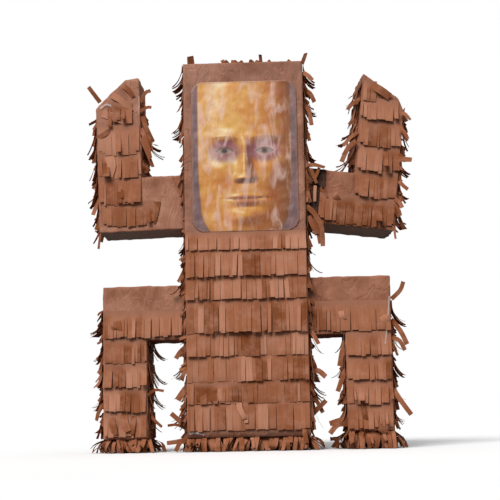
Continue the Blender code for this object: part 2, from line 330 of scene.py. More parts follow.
def tape_material(name, colour, roughness, clear=None):
    """Gummed paper tape, or clear tape where an opacity is given."""
    made, tree, shader = new_material(name)
    where = object_place(tree)
    fibre = texture(tree, "ShaderNodeTexNoise", where, (260, 260, 900), Scale=1, Detail=4)
    stops = ((0.3, tuple(c * 0.82 for c in colour)), (0.7, tuple(min(1, c * 1.1) for c in colour)))
    tree.links.new(ramp(tree, fibre.outputs["Fac"], stops), shader.inputs["Base Color"])
    shader.inputs["Roughness"].default_value = roughness
    if clear:
        shader.inputs["Alpha"].default_value = clear
        shader.inputs["Coat Weight"].default_value = 1.0
        shader.inputs["Coat Roughness"].default_value = 0.08
    wrinkle = texture(tree, "ShaderNodeTexNoise", where, 140, Scale=1, Detail=4)
    bumped(tree, shader, wrinkle.outputs["Fac"], 0.6, 0.001)
    return made


def print_material(sheet):
    """Ink under a clear film: the drawing comes from the sheet's own layers, and the film's pale glare is painted over
    it into the colour as a highlight.
    """
    made, tree, shader = new_material("printed_mask")
    where = object_place(tree)

    def layer(name):
        return node(tree, "ShaderNodeAttribute", attribute_name=name).outputs["Fac"]

    gold = ((0, tone(96, 54, 24)), (0.3, tone(158, 98, 40)), (0.52, sheet.gold),
            (0.75, tone(228, 182, 104)), (1, tone(246, 226, 190)))
    cloud = texture(tree, "ShaderNodeTexNoise", where, 34, Scale=1, Detail=4, Roughness=0.6)
    warm = ramp(tree, cloud.outputs["Fac"], ((0.35, tone(238, 188, 116)), (0.65, tone(255, 248, 232))))
    base = mixed(tree, "MULTIPLY", 0.9, ramp(tree, layer("shade"), gold), warm)
    base = mixed(tree, "MIX", layer("lip"), base, tone(172, 92, 66))
    base = mixed(tree, "MIX", layer("mauve"), base, sheet.shadow)
    base = mixed(tree, "MIX", layer("eye"), base, tone(158, 138, 134))
    base = mixed(tree, "MIX", layer("iris"), base, tone(110, 78, 60))
    base = mixed(tree, "MIX", layer("dark"), base, tone(46, 38, 44))
    ground = ramp(tree, cloud.outputs["Fac"], ((0.3, tone(56, 34, 42)), (0.7, tone(124, 84, 86))))
    base = mixed(tree, "MIX", layer("margin"), base, ground)
    # Painted highlight: pale pinkish glare of the film mixed into the colour, kept off the eyes and faint on the
    # margins.
    glare = texture(tree, "ShaderNodeTexNoise", where, (58, 58, 20), Scale=1, Detail=3, Distortion=0.8)
    share = ramp(tree, glare.outputs["Fac"], ((0.50, grey(0)), (0.66, grey(0.5))))
    share = mixed(tree, "MIX", layer("eye"), share, grey(0))
    share = mixed(tree, "MIX", layer("margin"), share, grey(0.08))
    base = mixed(tree, "MIX", share, base, tone(232, 196, 184))
    base = mixed(tree, "MIX", layer("faded"), base, tone(152, 104, 82))
    tree.links.new(base, shader.inputs["Base Color"])
    shader.inputs["Roughness"].default_value = 0.42
    shader.inputs["Coat Weight"].default_value = 0.35
    shader.inputs["Coat Roughness"].default_value = 0.22
    ripple = texture(tree, "ShaderNodeTexNoise", where, (70, 70, 26), Scale=1, Detail=5, Distortion=1.0)
    bumped(tree, shader, ripple.outputs["Fac"], 0.45, 0.003)
    return made


def material(name):
    return bpy.data.materials[name]


# ---------------------------------------------------------------- paper


class Face:
    """A flat side of a box: a corner, the directions across, up and out of it, in metres."""

    def __init__(self, origin, across, out, up=(0, 0, 1)):
        self.origin, self.across = Vector(origin), Vector(across).normalized()
        self.up, self.out = Vector(up).normalized(), Vector(out).normalized()

    def at(self, u, v, n=0.0):
        return self.origin + self.across * u + self.up * v + self.out * n


def widths(rng, span, usual):
    """Cut positions across a strip: mostly even tabs, some wide ones left uncut, some slivers."""
    cuts = [0.0]
    while cuts[-1] < span - usual * 0.6:
        pick = rng.random()
        if pick < 0.62:
            wide = rng.uniform(0.75, 1.2)
        else:
            wide = rng.uniform(1.3, 2.2) if pick < 0.84 else rng.uniform(0.45, 0.7)
        cuts.append(cuts[-1] + wide * usual)
    scale = span / cuts[-1]
    return [c * scale for c in cuts]


STATIONS = (0.0, 0.26, 0.42, 0.58, 0.74, 0.88, 1.0)


def tab_line(length, lean, curl, base):
    """Distance down and out at each station of a tab that leans out and curls toward its end."""
    line, down, out, last = [(0.0, base)], 0.0, base, 0.0
    for s in STATIONS[1:]:
        middle = (s + last) / 2
        angle = lean * min(1, middle * 3) + curl * middle * middle * 1.6
        down += (s - last) * length * math.cos(angle)
        out = max(base * 0.9, out + (s - last) * length * math.sin(angle))
        line.append((down, out))
        last = s
    return line


def fringe_row(bm, rng, face, left, right, top, bottom, paper, style, keep=None, slope=0.0):
    """One strip of crepe between left and right, slit into tabs below its glued edge and hung on a face.
    keep tells which tabs lie on the face; slope tilts the strip."""
    tint_layer = bm.verts.layers.float.get("tint") or bm.verts.layers.float.new("tint")
    along_layer = bm.verts.layers.float.get("along") or bm.verts.layers.float.new("along")
    uv_layer = bm.loops.layers.uv.get("Paper") or bm.loops.layers.uv.new("Paper")
    span = right - left
    if span < 0.004:
        return
    cuts = widths(rng, span, paper.tab_width * style.get("width", 1))
    count, rows = len(cuts) - 1, len(STATIONS) - 1
    grid = bmesh.ops.create_grid(bm, x_segments=count, y_segments=rows, size=0.5)["verts"]
    inside = set(grid)
    slits = []
    for edge in {e for v in grid for e in v.link_edges}:
        a, b = edge.verts
        upright = abs(a.co.x - b.co.x) < 1e-6 and len(edge.link_faces) == 2
        if upright and (a.co.y + b.co.y) / 2 < 0.5 - 1.01 / rows:
            slits.append(edge)
    if slits:
        bmesh.ops.split_edges(bm, edges=slits)
    faces = {f for v in grid if v.is_valid for f in v.link_faces}
    todo = list(faces)
    while todo:
        f = todo.pop()
        for v in f.verts:
            inside.add(v)
            for g in v.link_faces:
                if g not in faces:
                    faces.add(g)
                    todo.append(g)
    tabs, tint, bend = [], rng.uniform(0.3, 0.7), rng.uniform(0, 1)
    length = (top - bottom) + style.get("overlap", 0.0)
    for i in range(count):
        if rng.random() < 0.42:
            tint = min(1, max(0, rng.gauss(style.get("tint", 0.5), 0.3)))
        bend = min(1, max(0, bend + rng.gauss(0, 0.22)))
        wild = rng.random() < style.get("wild", 0.05)
        low, high = style["curl"]
        curl = math.radians(rng.uniform(14, 50) if wild else low + (high - low) * bend + rng.gauss(0, 1))
        low, high = style["lean"]
        lean = math.radians(low + (high - low) * min(1, max(0, bend + rng.gauss(0, 0.25))))
        long = length * rng.uniform(1 - style.get("ragged", 0.03), 1 + style.get("ragged", 0.03) * 0.6)
        place = (cuts[i] + cuts[i + 1]) / span - 1
        long *= 1 - style.get("hem", 0.0) * abs(place) ** 4
        # A wild, strongly curled tab gets a deeper tint: painted shade for its curl.
        tabs.append({
            "line": tab_line(long, lean, curl, style.get("base", 0.0012) + rng.uniform(0, 0.0006)),
            "twist": math.radians(rng.gauss(0, style.get("twist", 7))),
            "drift": rng.gauss(0, style.get("drift", 0.0008)),
            "tint": min(1, max(0, tint + rng.gauss(0, 0.07))) * (0.75 if wild else 1),
            "shift": rng.uniform(0, 1),
            "gap": rng.choice((0.995, 0.99, 0.97, 0.93)),
            "lost": rng.random() < style.get("lost", 0.0),
        })
    gone = []
    for f in faces:
        middle = f.calc_center_median()
        column = min(count - 1, int((middle.x + 0.5) * count))
        tab = tabs[column]
        outside = keep and not keep((left + cuts[column] + left + cuts[column + 1]) / 2, top - 0.3 * (top - bottom))
        if outside or (tab["lost"] and middle.y < 0.5 - 1.01 / rows):
            gone.append(f)
        for loop in f.loops:
            share = 0.5 - loop.vert.co.y
            side = (loop.vert.co.x + 0.5) * count
            u = cuts[min(count, int(round(side)))]
            loop[uv_layer].uv = (u + tab["shift"], share * length + tab["shift"] * 3)
    places = {}
    for v in inside:
        columns = {min(count - 1, int((f.calc_center_median().x + 0.5) * count)) for f in v.link_faces}
        station = int(round((0.5 - v.co.y) * rows))
        side = int(round((v.co.x + 0.5) * count))
        found = []
        for column in columns:
            tab = tabs[column]
            down, out = tab["line"][station]
            s = STATIONS[station]
            middle = (cuts[column] + cuts[column + 1]) / 2
            half = cuts[side] - middle
            gap = tab["gap"] if station > 1 else 1.0
            turn = tab["twist"] * s
            u = middle + half * gap * math.cos(turn) + tab["drift"] * s
            n = out + half * gap * math.sin(turn)
            found.append((face.at(left + u, top - down + slope * (u - span / 2), max(n, 0.0005)), tab["tint"]))
        point = sum((p for p, _ in found), Vector()) / len(found)
        places[v] = (point, sum(t for _, t in found) / len(found), STATIONS[station])
    for v, (point, tint, s) in places.items():
        v.co = point
        v[tint_layer] = tint
        v[along_layer] = s
    if gone:
        bmesh.ops.delete(bm, geom=gone, context="FACES")


def loose_strip(bm, rng, points, width, tint, out, spin=0.0, taper=0.92):
    """One free tab along a smooth line through points; its flat side turns from out by spin."""
    tint_layer = bm.verts.layers.float.get("tint") or bm.verts.layers.float.new("tint")
    along_layer = bm.verts.layers.float.get("along") or bm.verts.layers.float.new("along")
    uv_layer = bm.loops.layers.uv.get("Paper") or bm.loops.layers.uv.new("Paper")
    points = [Vector(p) for p in points]
    steps = 6
    grid = bmesh.ops.create_grid(bm, x_segments=1, y_segments=steps, size=0.5)["verts"]
    shift = rng.uniform(0, 1)
    for v in grid:
        s = 0.5 - v.co.y
        point, tangent = along_line(points, s)
        face_out = Vector(out)
        across = tangent.cross(face_out)
        if across.length < 1e-4:
            across = tangent.cross(Vector((0.3, 1, 0.2)))
        across.normalize()
        across = Matrix.Rotation(spin * s, 3, tangent) @ across
        side = v.co.x * width * (1 - (1 - taper) * s)
        for loop in v.link_loops:
            loop[uv_layer].uv = (side + shift, s * 0.03 + shift)
        v.co = point + across * side
        v[tint_layer] = min(1, max(0, tint + rng.gauss(0, 0.02)))
        v[along_layer] = 0.3 + 0.6 * s


def along_line(points, s):
    """Point and direction at share s of a smooth line through points."""
    count = len(points)
    if count == 2:
        return points[0].lerp(points[1], s), (points[1] - points[0]).normalized()
    place = s * (count - 1)
    i = min(count - 2, int(place))
    t = place - i
    before = points[i - 1] if i else points[0] * 2 - points[1]
    after = points[i + 2] if i + 2 < count else points[-1] * 2 - points[-2]
    a, b = points[i], points[i + 1]
    point = 0.5 * ((2 * a) + (b - before) * t + (2 * before - 5 * a + 4 * b - after) * t * t
                   + (3 * a - before - 3 * b + after) * t ** 3)
    slope = 0.5 * ((b - before) + 2 * (2 * before - 5 * a + 4 * b - after) * t
                   + 3 * (3 * a - before - 3 * b + after) * t * t)
    return point, slope.normalized()


def finish_paper(name, bm, paper, body, nodes, material_name="cut_crepe"):
    """Gives the strips their thickness and hands the piece to its body."""
    low, high = CAD_BOX
    for v in bm.verts:
        v.co = [min(h + OVERHANG, max(l - OVERHANG, c)) for c, l, h in zip(v.co, low, high)]
        v.co.z = max(0.0006, v.co.z)
    bmesh.ops.solidify(bm, geom=bm.faces[:], thickness=paper.thickness)
    bmesh.ops.recalc_face_normals(bm, faces=bm.faces)
    mesh = bpy.data.meshes.new(name)
    bm.to_mesh(mesh)
    bm.free()
    mesh.materials.append(material(material_name))
    ob = bpy.data.objects.new(name, mesh)
    bpy.context.scene.collection.objects.link(ob)
    mesh.shade_smooth()
    mesh.set_sharp_from_angle(angle=math.radians(50))
    return hand_over(ob, body, nodes)


def hand_over(ob, body, nodes):
    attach(ob, body)
    if nodes:
        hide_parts(*nodes)
    return ob


def wrinkled(ob, depth, size, seed, raw_board_and_shade_under=False):
    """Pushes a fine mesh in and out by soft noise, and keeps the height as a crease layer, from which the material
    paints shade in the hollows and light on the ridges;
    where raw_board_and_shade_under is set, the layer is 0 on downward faces, which the material paints grey: partly raw
    board, partly painted shade."""
    mesh = ob.data
    layer = mesh.attributes.new("crease", "FLOAT", "POINT")
    offset = Vector((seed * 3.1, seed * 1.7, seed * 2.3))
    normals = [v.normal.copy() for v in mesh.vertices]
    heights = []
    for v, normal in zip(mesh.vertices, normals):
        p = Vector(v.co)
        broad = noise.noise(p / size + offset)
        ridge = 1 - abs(noise.noise(p / (size * 0.55) + offset * 2)) * 2.2
        height = 0.6 * broad + 0.5 * max(0, ridge) ** 3
        heights.append(0.0 if raw_board_and_shade_under and normal.z < -0.6 else 0.5 + 0.5 * max(-0.8, min(1, height)))
        v.co = v.co + normal * depth * max(-0.12, height)
    layer.data.foreach_set("value", heights)
    return ob


def prism_piece(name, outline, place, half, turn, spacing, rounding):
    """A rounded, finely divided box of an (outward, up) outline, for paper wrapped round a limb."""
    bm = bmesh.new()
    face = bm.faces.new([bm.verts.new((x, -half, z)) for x, z in outline])
    grown = bmesh.ops.extrude_face_region(bm, geom=[face])["geom"]
    bmesh.ops.translate(bm, vec=(0, 2 * half, 0), verts=[v for v in grown if isinstance(v, bmesh.types.BMVert)])
    bmesh.ops.recalc_face_normals(bm, faces=bm.faces)
    bmesh.ops.bevel(bm, geom=list(bm.edges), offset=rounding, offset_type="OFFSET", segments=3, profile=0.5,
                    affect="EDGES", material=-1, clamp_overlap=True)
    lo = Vector(map(min, *(v.co for v in bm.verts)))
    hi = Vector(map(max, *(v.co for v in bm.verts)))
    for axis in range(3):
        steps = int((hi[axis] - lo[axis]) / spacing)
        for i in range(1, steps):
            normal = Vector([float(a == axis) for a in range(3)])
            spot = lo + normal * (hi[axis] - lo[axis]) * i / steps
            bmesh.ops.bisect_plane(bm, geom=bm.verts[:] + bm.edges[:] + bm.faces[:], dist=1e-6,
                                   plane_co=spot, plane_no=normal)
    bmesh.ops.triangulate(bm, faces=[f for f in bm.faces if len(f.verts) > 4])
    bmesh.ops.rotate(bm, matrix=Matrix.Rotation(turn, 3, "Z"), verts=bm.verts)
    bmesh.ops.translate(bm, vec=place, verts=bm.verts)
    mesh = bpy.data.meshes.new(name)
    bm.to_mesh(mesh)
    bm.free()
    mesh.materials.append(material("pulled_crepe"))
    ob = bpy.data.objects.new(name, mesh)
    bpy.context.scene.collection.objects.link(ob)
    mesh.shade_smooth()
    mesh.set_sharp_from_angle(angle=math.radians(60))
    return ob


FRONT_STYLE = {"lean": (2.3, 4.6), "curl": (-2, 9), "wild": 0.012, "twist": 2.5, "ragged": 0.035, "width": 0.85}
SIDE_STYLE = {"lean": (3, 16), "curl": (-10, 40), "wild": 0.12, "twist": 14, "ragged": 0.12, "drift": 0.003,
              "lost": 0.05, "tint": 0.36}
HEAD_SIDE_STYLE = {**SIDE_STYLE, "lean": (2, 12)}


def body_faces():
    """The four upright sides of the body box, each seen from outside with across to the right."""
    skin = 0.0008
    return {
        "front": Face((-HALF_W, FRONT_Y - skin, BASE_Z), (1, 0, 0), (0, -1, 0)),
        "right": Face((HALF_W + skin, FRONT_Y, BASE_Z), (0, 1, 0), (1, 0, 0)),
        "back": Face((HALF_W, BACK_Y + skin, BASE_Z), (-1, 0, 0), (0, 1, 0)),
        "left": Face((-HALF_W - skin, BACK_Y, BASE_Z), (0, -1, 0), (-1, 0, 0)),
    }


def limb_near(side, z, margin=0.004):
    """Whether a limb is glued to this side of the body at this height."""
    label = "left" if side == "left" else "right"
    for part in ("arm", "leg"):
        lo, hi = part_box(f"{label}_{part}_front_panel")
        if part == "arm":
            hi_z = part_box(f"{label}_arm_shoulder_panel")[1].z
            lo_z = lo.z
        else:
            lo_z, hi_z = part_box(f"{label}_leg_thigh_under_panel")[0].z, hi.z
        if lo_z - margin < z < hi_z + margin:
            return True
    return False


class PINATA_OT_materials(Operator):
    """Makes the papers, board, tapes, wood and printing"""

    bl_idname = "pinata.materials"
    bl_label = "Papers and board"

    def execute(self, context):
        paper = context.scene.pinata_paper
        crepe_material(paper)
        wrap_material(paper)
        painted_shade_material()
        board_material()
        wood_material()
        tape_material("gummed_tape", tone(186, 140, 98), 0.6)
        # The clear tape's whitish colour, at about a third opacity, stands partly for its glint: painted highlight over
        # a real glossy coat.
        tape_material("clear_tape", tone(232, 218, 212), 0.15, clear=0.34)
        print_material(context.scene.pinata_print)
        for name, ob in frame["nodes"].items():
            kind = "kraft_board"
            if name == "hanger_stick":
                kind = "dowel_wood"
            elif "tape" in name:
                kind = "gummed_tape"
            ob.data.materials.clear()
            ob.data.materials.append(material(kind))
        return {"FINISHED"}


class PINATA_OT_body_wrap(Operator):
    """Crepe wrapped plain round the body box, under the fringe, with its window at the fill flap"""

    bl_idname = "pinata.body_wrap"
    bl_label = "Body wrapping"

    def execute(self, context):
        paper = context.scene.pinata_paper
        skin = 0.0004
        bm = bmesh.new()
        bmesh.ops.create_cube(bm, size=1.0)
        size = (2 * (HALF_W + skin), BACK_Y - FRONT_Y + 2 * skin, TOP_Z - BASE_Z + skin)
        bmesh.ops.scale(bm, vec=size, verts=bm.verts)
        bmesh.ops.translate(bm, vec=(0, 0, (TOP_Z + BASE_Z + skin) / 2), verts=bm.verts)
        bmesh.ops.bevel(bm, geom=[e for e in bm.edges if e.calc_length() > 0.3], offset=0.0008, segments=2,
                        profile=0.5, affect="EDGES", material=-1)
        window = (FLAP[0].x - 0.001, FLAP[1].x + 0.001, FLAP[0].z - 0.001, HINGE_Z + 0.0005)
        cuts = [((x, 0, 0), (1, 0, 0)) for x in window[:2]] + [((0, 0, z), (0, 0, 1)) for z in window[2:]]
        for i in range(1, 16):
            cuts.append(((-HALF_W + 2 * HALF_W * i / 16, 0, 0), (1, 0, 0)))
        for i in range(1, 44):
            cuts.append(((0, 0, BASE_Z + (TOP_Z - BASE_Z) * i / 44), (0, 0, 1)))
        for i in range(1, 9):
            cuts.append(((0, FRONT_Y + (BACK_Y - FRONT_Y) * i / 9, 0), (0, 1, 0)))
        for spot, normal in cuts:
            bmesh.ops.bisect_plane(bm, geom=bm.verts[:] + bm.edges[:] + bm.faces[:], dist=1e-7,
                                   plane_co=spot, plane_no=normal)
        gone = []
        for f in bm.faces:
            c = f.calc_center_median()
            at_window = c.y > BACK_Y and window[0] < c.x < window[1] and window[2] < c.z < window[3]
            at_top = c.z > TOP_Z and f.normal.z > 0.5
            at_base = f.normal.z < -0.5
            if at_window or at_top or at_base:
                gone.append(f)
        bmesh.ops.delete(bm, geom=gone, context="FACES")
        mesh = bpy.data.meshes.new("body_wrap")
        bm.to_mesh(mesh)
        bm.free()
        mesh.materials.append(material("pulled_crepe"))
        ob = bpy.data.objects.new("body_wrap", mesh)
        context.scene.collection.objects.link(ob)
        wrinkled(ob, 0.0003, 0.03, 2)
        thick = ob.modifiers.new("Paper", "SOLIDIFY")
        thick.thickness = paper.thickness
        thick.offset = 1
        mesh.shade_smooth()
        mesh.set_sharp_from_angle(angle=math.radians(50))
        hand_over(ob, "figure", [])
        return {"FINISHED"}


class PINATA_OT_torso_fringe(Operator):
    """Eight strips of fringe round the torso, below the printed sheet"""

    bl_idname = "pinata.torso_fringe"
    bl_label = "Torso fringe"

    def execute(self, context):
        paper = context.scene.pinata_paper
        faces = body_faces()
        for i in range(1, 9):
            rng = random.Random(100 + i)
            lo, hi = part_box(f"torso_fringe_row_{i}")
            bottom, top = lo.z - BASE_Z, hi.z - BASE_Z + (0.012 if i > 1 else 0.001)
            bm = bmesh.new()
            for side, face in faces.items():
                span = 2 * HALF_W if side in ("front", "back") else BACK_Y - FRONT_Y
                style = FRONT_STYLE if side in ("front", "back") else SIDE_STYLE
                style = {**style, "tint": rng.uniform(0.42, 0.62) if side != "left" else 0.35}
                if side in ("left", "right"):
                    if any(limb_near(side, BASE_Z + z) for z in (bottom, top, (bottom + top) / 2)):
                        style["lean"], style["curl"], style["wild"] = (0.5, 2), (-2, 2), 0
                        edge = span / 2 - LIMB_HALF - 0.006
                        edge_style = {**SIDE_STYLE, "tint": 0.35}
                        for a, b in ((0.001, edge), (span - edge, span - 0.001)):
                            fringe_row(bm, rng, face, a, b, top, bottom, paper, edge_style)
                        continue
                fringe_row(bm, rng, face, 0.0005, span - 0.0005, top, bottom, paper, style,
                           slope=rng.uniform(-0.006, 0.012))
            if i == 7:
                deep = {**FRONT_STYLE, "lean": (4, 7), "tint": 0.12, "width": 0.7, "ragged": 0.03, "base": 0.0028}
                fringe_row(bm, rng, faces["front"], 0.014, 0.085, 0.0840, 0.0560, paper, deep)
            if i == 8:
                self.folded_tab(bm, rng)
            finish_paper(f"torso_fringe_{i}", bm, paper, "figure", [f"torso_fringe_row_{i}"])
        return {"FINISHED"}


    def folded_tab(self, bm, rng):
        """One pale tab torn and folded down over the lowest strip."""
        y = FRONT_Y - 0.0045
        points = [(-0.0150, y, 0.0750), (-0.0135, y - 0.0025, 0.0660), (-0.0085, y - 0.0045, 0.0560),
                  (-0.0065, y - 0.0035, 0.0500)]
        loose_strip(bm, rng, points, 0.0085, 0.95, (0, -1, 0), 0.3)
        points = [(-0.0060, y, 0.0560), (-0.0045, y - 0.002, 0.0500), (-0.0040, y - 0.003, 0.0440)]
        loose_strip(bm, rng, points, 0.0070, 0.9, (0.2, -1, 0), 0.5)


class PINATA_OT_head_paper(Operator):
    """Plain wrapping on the front and top of the head, and fringe on its sides and back"""

    bl_idname = "pinata.head_paper"
    bl_label = "Head wrapping and fringe"

    def execute(self, context):
        paper = context.scene.pinata_paper
        self.wrapping(context, paper)
        faces = body_faces()
        rng = random.Random(31)
        bm = bmesh.new()
        rows = 7  # strips from the top of the head to the torso
        pitch = (TOP_Z - HEAD_Z) / rows
        for i in range(rows):
            top, bottom = TOP_Z - BASE_Z - i * pitch, TOP_Z - BASE_Z - (i + 1) * pitch
            for side in ("left", "right", "back"):
                face = faces[side]
                span = 2 * HALF_W if side == "back" else BACK_Y - FRONT_Y
                if side != "back":
                    if any(limb_near(side, BASE_Z + z) for z in (bottom, top, (bottom + top) / 2)):
                        edge = span / 2 - LIMB_HALF - 0.006
                        for a, b in ((0.001, edge), (span - edge, span - 0.001)):
                            fringe_row(bm, rng, face, a, b, top, bottom, paper, HEAD_SIDE_STYLE)
                    else:
                        fringe_row(bm, rng, face, 0.001, span - 0.001, top, bottom, paper, HEAD_SIDE_STYLE)
            self.back_row(bm, rng, faces["back"], top, bottom, paper)
        finish_paper("head_fringe_tabs", bm, paper, "figure", ["head_fringe"])
        return {"FINISHED"}

    def back_row(self, bm, rng, face, top, bottom, paper):
        """A strip across the back of the head, left out where the fill flap and its hinge tape are."""
        flap_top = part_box("flap_hinge_tape")[1].z - BASE_Z + 0.004
        flap_bottom = FLAP[0].z - BASE_Z - 0.002
        half = FLAP[1].x + 0.002
        if top <= flap_bottom or bottom >= flap_top + 0.004:
            fringe_row(bm, rng, face, 0.0005, 2 * HALF_W - 0.0005, top, bottom, paper,
                       {**FRONT_STYLE, "overlap": 0.0})
            return
        for a, b in ((0.0005, HALF_W - half), (HALF_W + half, 2 * HALF_W - 0.0005)):
            fringe_row(bm, rng, face, a, b, top, bottom, paper, FRONT_STYLE)
        if top > flap_top + 0.006:
            fringe_row(bm, rng, face, HALF_W - half, HALF_W + half, top, flap_top, paper,
                       {**FRONT_STYLE, "overlap": 0.0, "wild": 0})
        if bottom < flap_bottom - 0.006:
            fringe_row(bm, rng, face, HALF_W - half, HALF_W + half, flap_bottom, bottom, paper, FRONT_STYLE)

    def wrapping(self, context, paper):
        """One sheet over the front and top, creased where it was pulled tight, with the two hanging holes."""
        skin = 0.0009
        bm = bmesh.new()
        bmesh.ops.create_cube(bm, size=1.0)
        low = HEAD_Z - 0.004
        size = (2 * (HALF_W + 0.0006), BACK_Y - FRONT_Y + 2 * skin, TOP_Z + skin - low)
        bmesh.ops.scale(bm, vec=size, verts=bm.verts)
        bmesh.ops.translate(bm, vec=(0, 0, (TOP_Z + skin + low) / 2), verts=bm.verts)
        keep = [f for f in bm.faces if f.normal.y < -0.5 or f.normal.z > 0.5]
        bmesh.ops.delete(bm, geom=[f for f in bm.faces if f not in keep], context="FACES")
        bmesh.ops.bevel(bm, geom=[e for e in bm.edges if len(e.link_faces) == 2], offset=0.002, segments=3,
                        profile=0.5, affect="EDGES", material=-1)
        for i in range(1, 64):
            bmesh.ops.bisect_plane(bm, geom=bm.verts[:] + bm.edges[:] + bm.faces[:], dist=1e-7,
                                   plane_co=(-HALF_W + 2 * HALF_W * i / 64, 0, 0), plane_no=(1, 0, 0))
        for i in range(1, 92):
            bmesh.ops.bisect_plane(bm, geom=bm.verts[:] + bm.edges[:] + bm.faces[:], dist=1e-7,
                                   plane_co=(0, 0, low + (TOP_Z + skin - low) * i / 92), plane_no=(0, 0, 1))
        for i in range(1, 36):
            bmesh.ops.bisect_plane(bm, geom=bm.verts[:] + bm.edges[:] + bm.faces[:], dist=1e-7,
                                   plane_co=(0, FRONT_Y + (BACK_Y - FRONT_Y) * i / 36, 0), plane_no=(0, 1, 0))
        gone = [f for f in bm.faces if f.normal.z > 0.5
                and min((f.calc_center_median() - Vector((x, 0, TOP_Z + skin))).length for x in HOLES_X) < 0.0032]
        bmesh.ops.delete(bm, geom=gone, context="FACES")
        mesh = bpy.data.meshes.new("head_wrapping")
        bm.to_mesh(mesh)
        bm.free()
        mesh.materials.append(material("pulled_crepe"))
        ob = bpy.data.objects.new("head_wrapping", mesh)
        context.scene.collection.objects.link(ob)
        wrinkled(ob, 0.0009, 0.022, 5)
        thick = ob.modifiers.new("Paper", "SOLIDIFY")
        thick.thickness = paper.thickness
        thick.offset = 1
        mesh.shade_smooth()
        hand_over(ob, "figure", ["head_wrap"])


class PINATA_OT_flap_paper(Operator):
    """Fringe on the fill flap, which turns with it, and the tape that is its hinge"""

    bl_idname = "pinata.flap_paper"
    bl_label = "Flap fringe and hinge tape"

    def execute(self, context):
        paper = context.scene.pinata_paper
        rng = random.Random(47)
        lo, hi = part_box("flap_fringe")
        face = Face((hi.x, BACK_Y + 0.0004, 0), (-1, 0, 0), (0, 1, 0))
        bm = bmesh.new()
        middle = (lo.z + hi.z) / 2
        style = {**FRONT_STYLE, "base": 0.0006, "wild": 0.0}
        for top, bottom in ((middle, lo.z), (hi.z, middle)):
            row_style = {**style, "overlap": 0.004 if bottom == middle else 0}
            fringe_row(bm, rng, face, 0.0, hi.x - lo.x, top, bottom, paper, row_style)
        finish_paper("flap_tabs", bm, paper, "flap", ["flap_fringe"])
        self.tape_tab(context, paper)
        lo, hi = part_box("flap_hinge_tape")
        hi.y += 0.001
        bm = bmesh.new()
        bmesh.ops.create_cube(bm, size=1.0)
        bmesh.ops.scale(bm, vec=hi - lo, verts=bm.verts)
        bmesh.ops.translate(bm, vec=(lo + hi) / 2, verts=bm.verts)
        for i in range(1, 24):
            bmesh.ops.bisect_plane(bm, geom=bm.verts[:] + bm.edges[:] + bm.faces[:], dist=1e-7,
                                   plane_co=(0, 0, lo.z + (hi.z - lo.z) * i / 24), plane_no=(0, 0, 1))
        mesh = bpy.data.meshes.new("hinge_tape")
        bm.to_mesh(mesh)
        bm.free()
        mesh.materials.append(material("gummed_tape"))
        ob = bpy.data.objects.new("hinge_tape", mesh)
        context.scene.collection.objects.link(ob)
        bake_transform(ob)
        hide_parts("flap_hinge_tape")
        return {"FINISHED"}

    def tape_tab(self, context, paper):
        """The strip of tape that holds the flap shut, cockled where it was wetted."""
        lo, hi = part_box("flap_tape_tab")
        bm = bmesh.new()
        bmesh.ops.create_grid(bm, x_segments=30, y_segments=44, size=0.5)
        bmesh.ops.scale(bm, vec=(hi.x - lo.x, hi.z - lo.z, 1), verts=bm.verts)
        bmesh.ops.rotate(bm, matrix=Matrix.Rotation(math.radians(-90), 3, "X"), verts=bm.verts)
        bmesh.ops.translate(bm, vec=((lo.x + hi.x) / 2, hi.y, (lo.z + hi.z) / 2), verts=bm.verts)
        bmesh.ops.solidify(bm, geom=bm.faces[:], thickness=paper.thickness)
        bmesh.ops.recalc_face_normals(bm, faces=bm.faces)
        mesh = bpy.data.meshes.new("tape_tab")
        bm.to_mesh(mesh)
        bm.free()
        mesh.materials.append(material("gummed_tape"))
        ob = bpy.data.objects.new("tape_tab", mesh)
        context.scene.collection.objects.link(ob)
        offset = Vector((4, 9, 2))
        for v in mesh.vertices:
            p = Vector((v.co.x, 0, v.co.z))
            v.co.y += 0.0007 * (0.6 + noise.noise(p / 0.012 + offset) + 0.5 * noise.noise(p / 0.005 + offset))
        mesh.shade_smooth()
        mesh.set_sharp_from_angle(angle=math.radians(50))
        hand_over(ob, "flap", ["flap_tape_tab"])


# ---------------------------------------------------------------- limbs

ARM_OUT, ARM_H = 0.139, 0.087
ARM_SHAPES = {
    "left_arm": (-1, ((0, 0), (ARM_OUT, 0), (ARM_OUT, 0.205), (0.090, 0.2505), (0.068, 0.252), (0.068, ARM_H), (0, ARM_H)),
                 0.333, math.radians(1.5), 0.0),
    "right_arm": (1, ((0, 0), (ARM_OUT, 0), (ARM_OUT, 0.198), (0.129, 0.218), (0.069, 0.253), (0.068, ARM_H), (0, ARM_H)),
                  0.339, math.radians(6.4), math.radians(6)),
}
LEG_SHAPES = {
    "left_leg": (-1, 0.2300, 0.1604, 0.0, 0.1550, 0.2405),
    "right_leg": (1, 0.2270, 0.1548, 0.0064, 0.1586, 0.2490),
}


def offset_outline(points, distances):
    """An outline with each edge moved outward by its own distance."""
    lines = []
    for i, distance in enumerate(distances):
        a, b = Vector(points[i]), Vector(points[(i + 1) % len(points)])
        along = (b - a).normalized()
        lines.append((a + Vector((along.y, -along.x)) * distance, along))
    moved = []
    for i in range(len(points)):
        (p, d), (q, e) = lines[i - 1], lines[i]
        between = q - p
        t = (between.x * e.y - between.y * e.x) / (d.x * e.y - d.y * e.x)
        moved.append(tuple(p + d * t))
    return moved


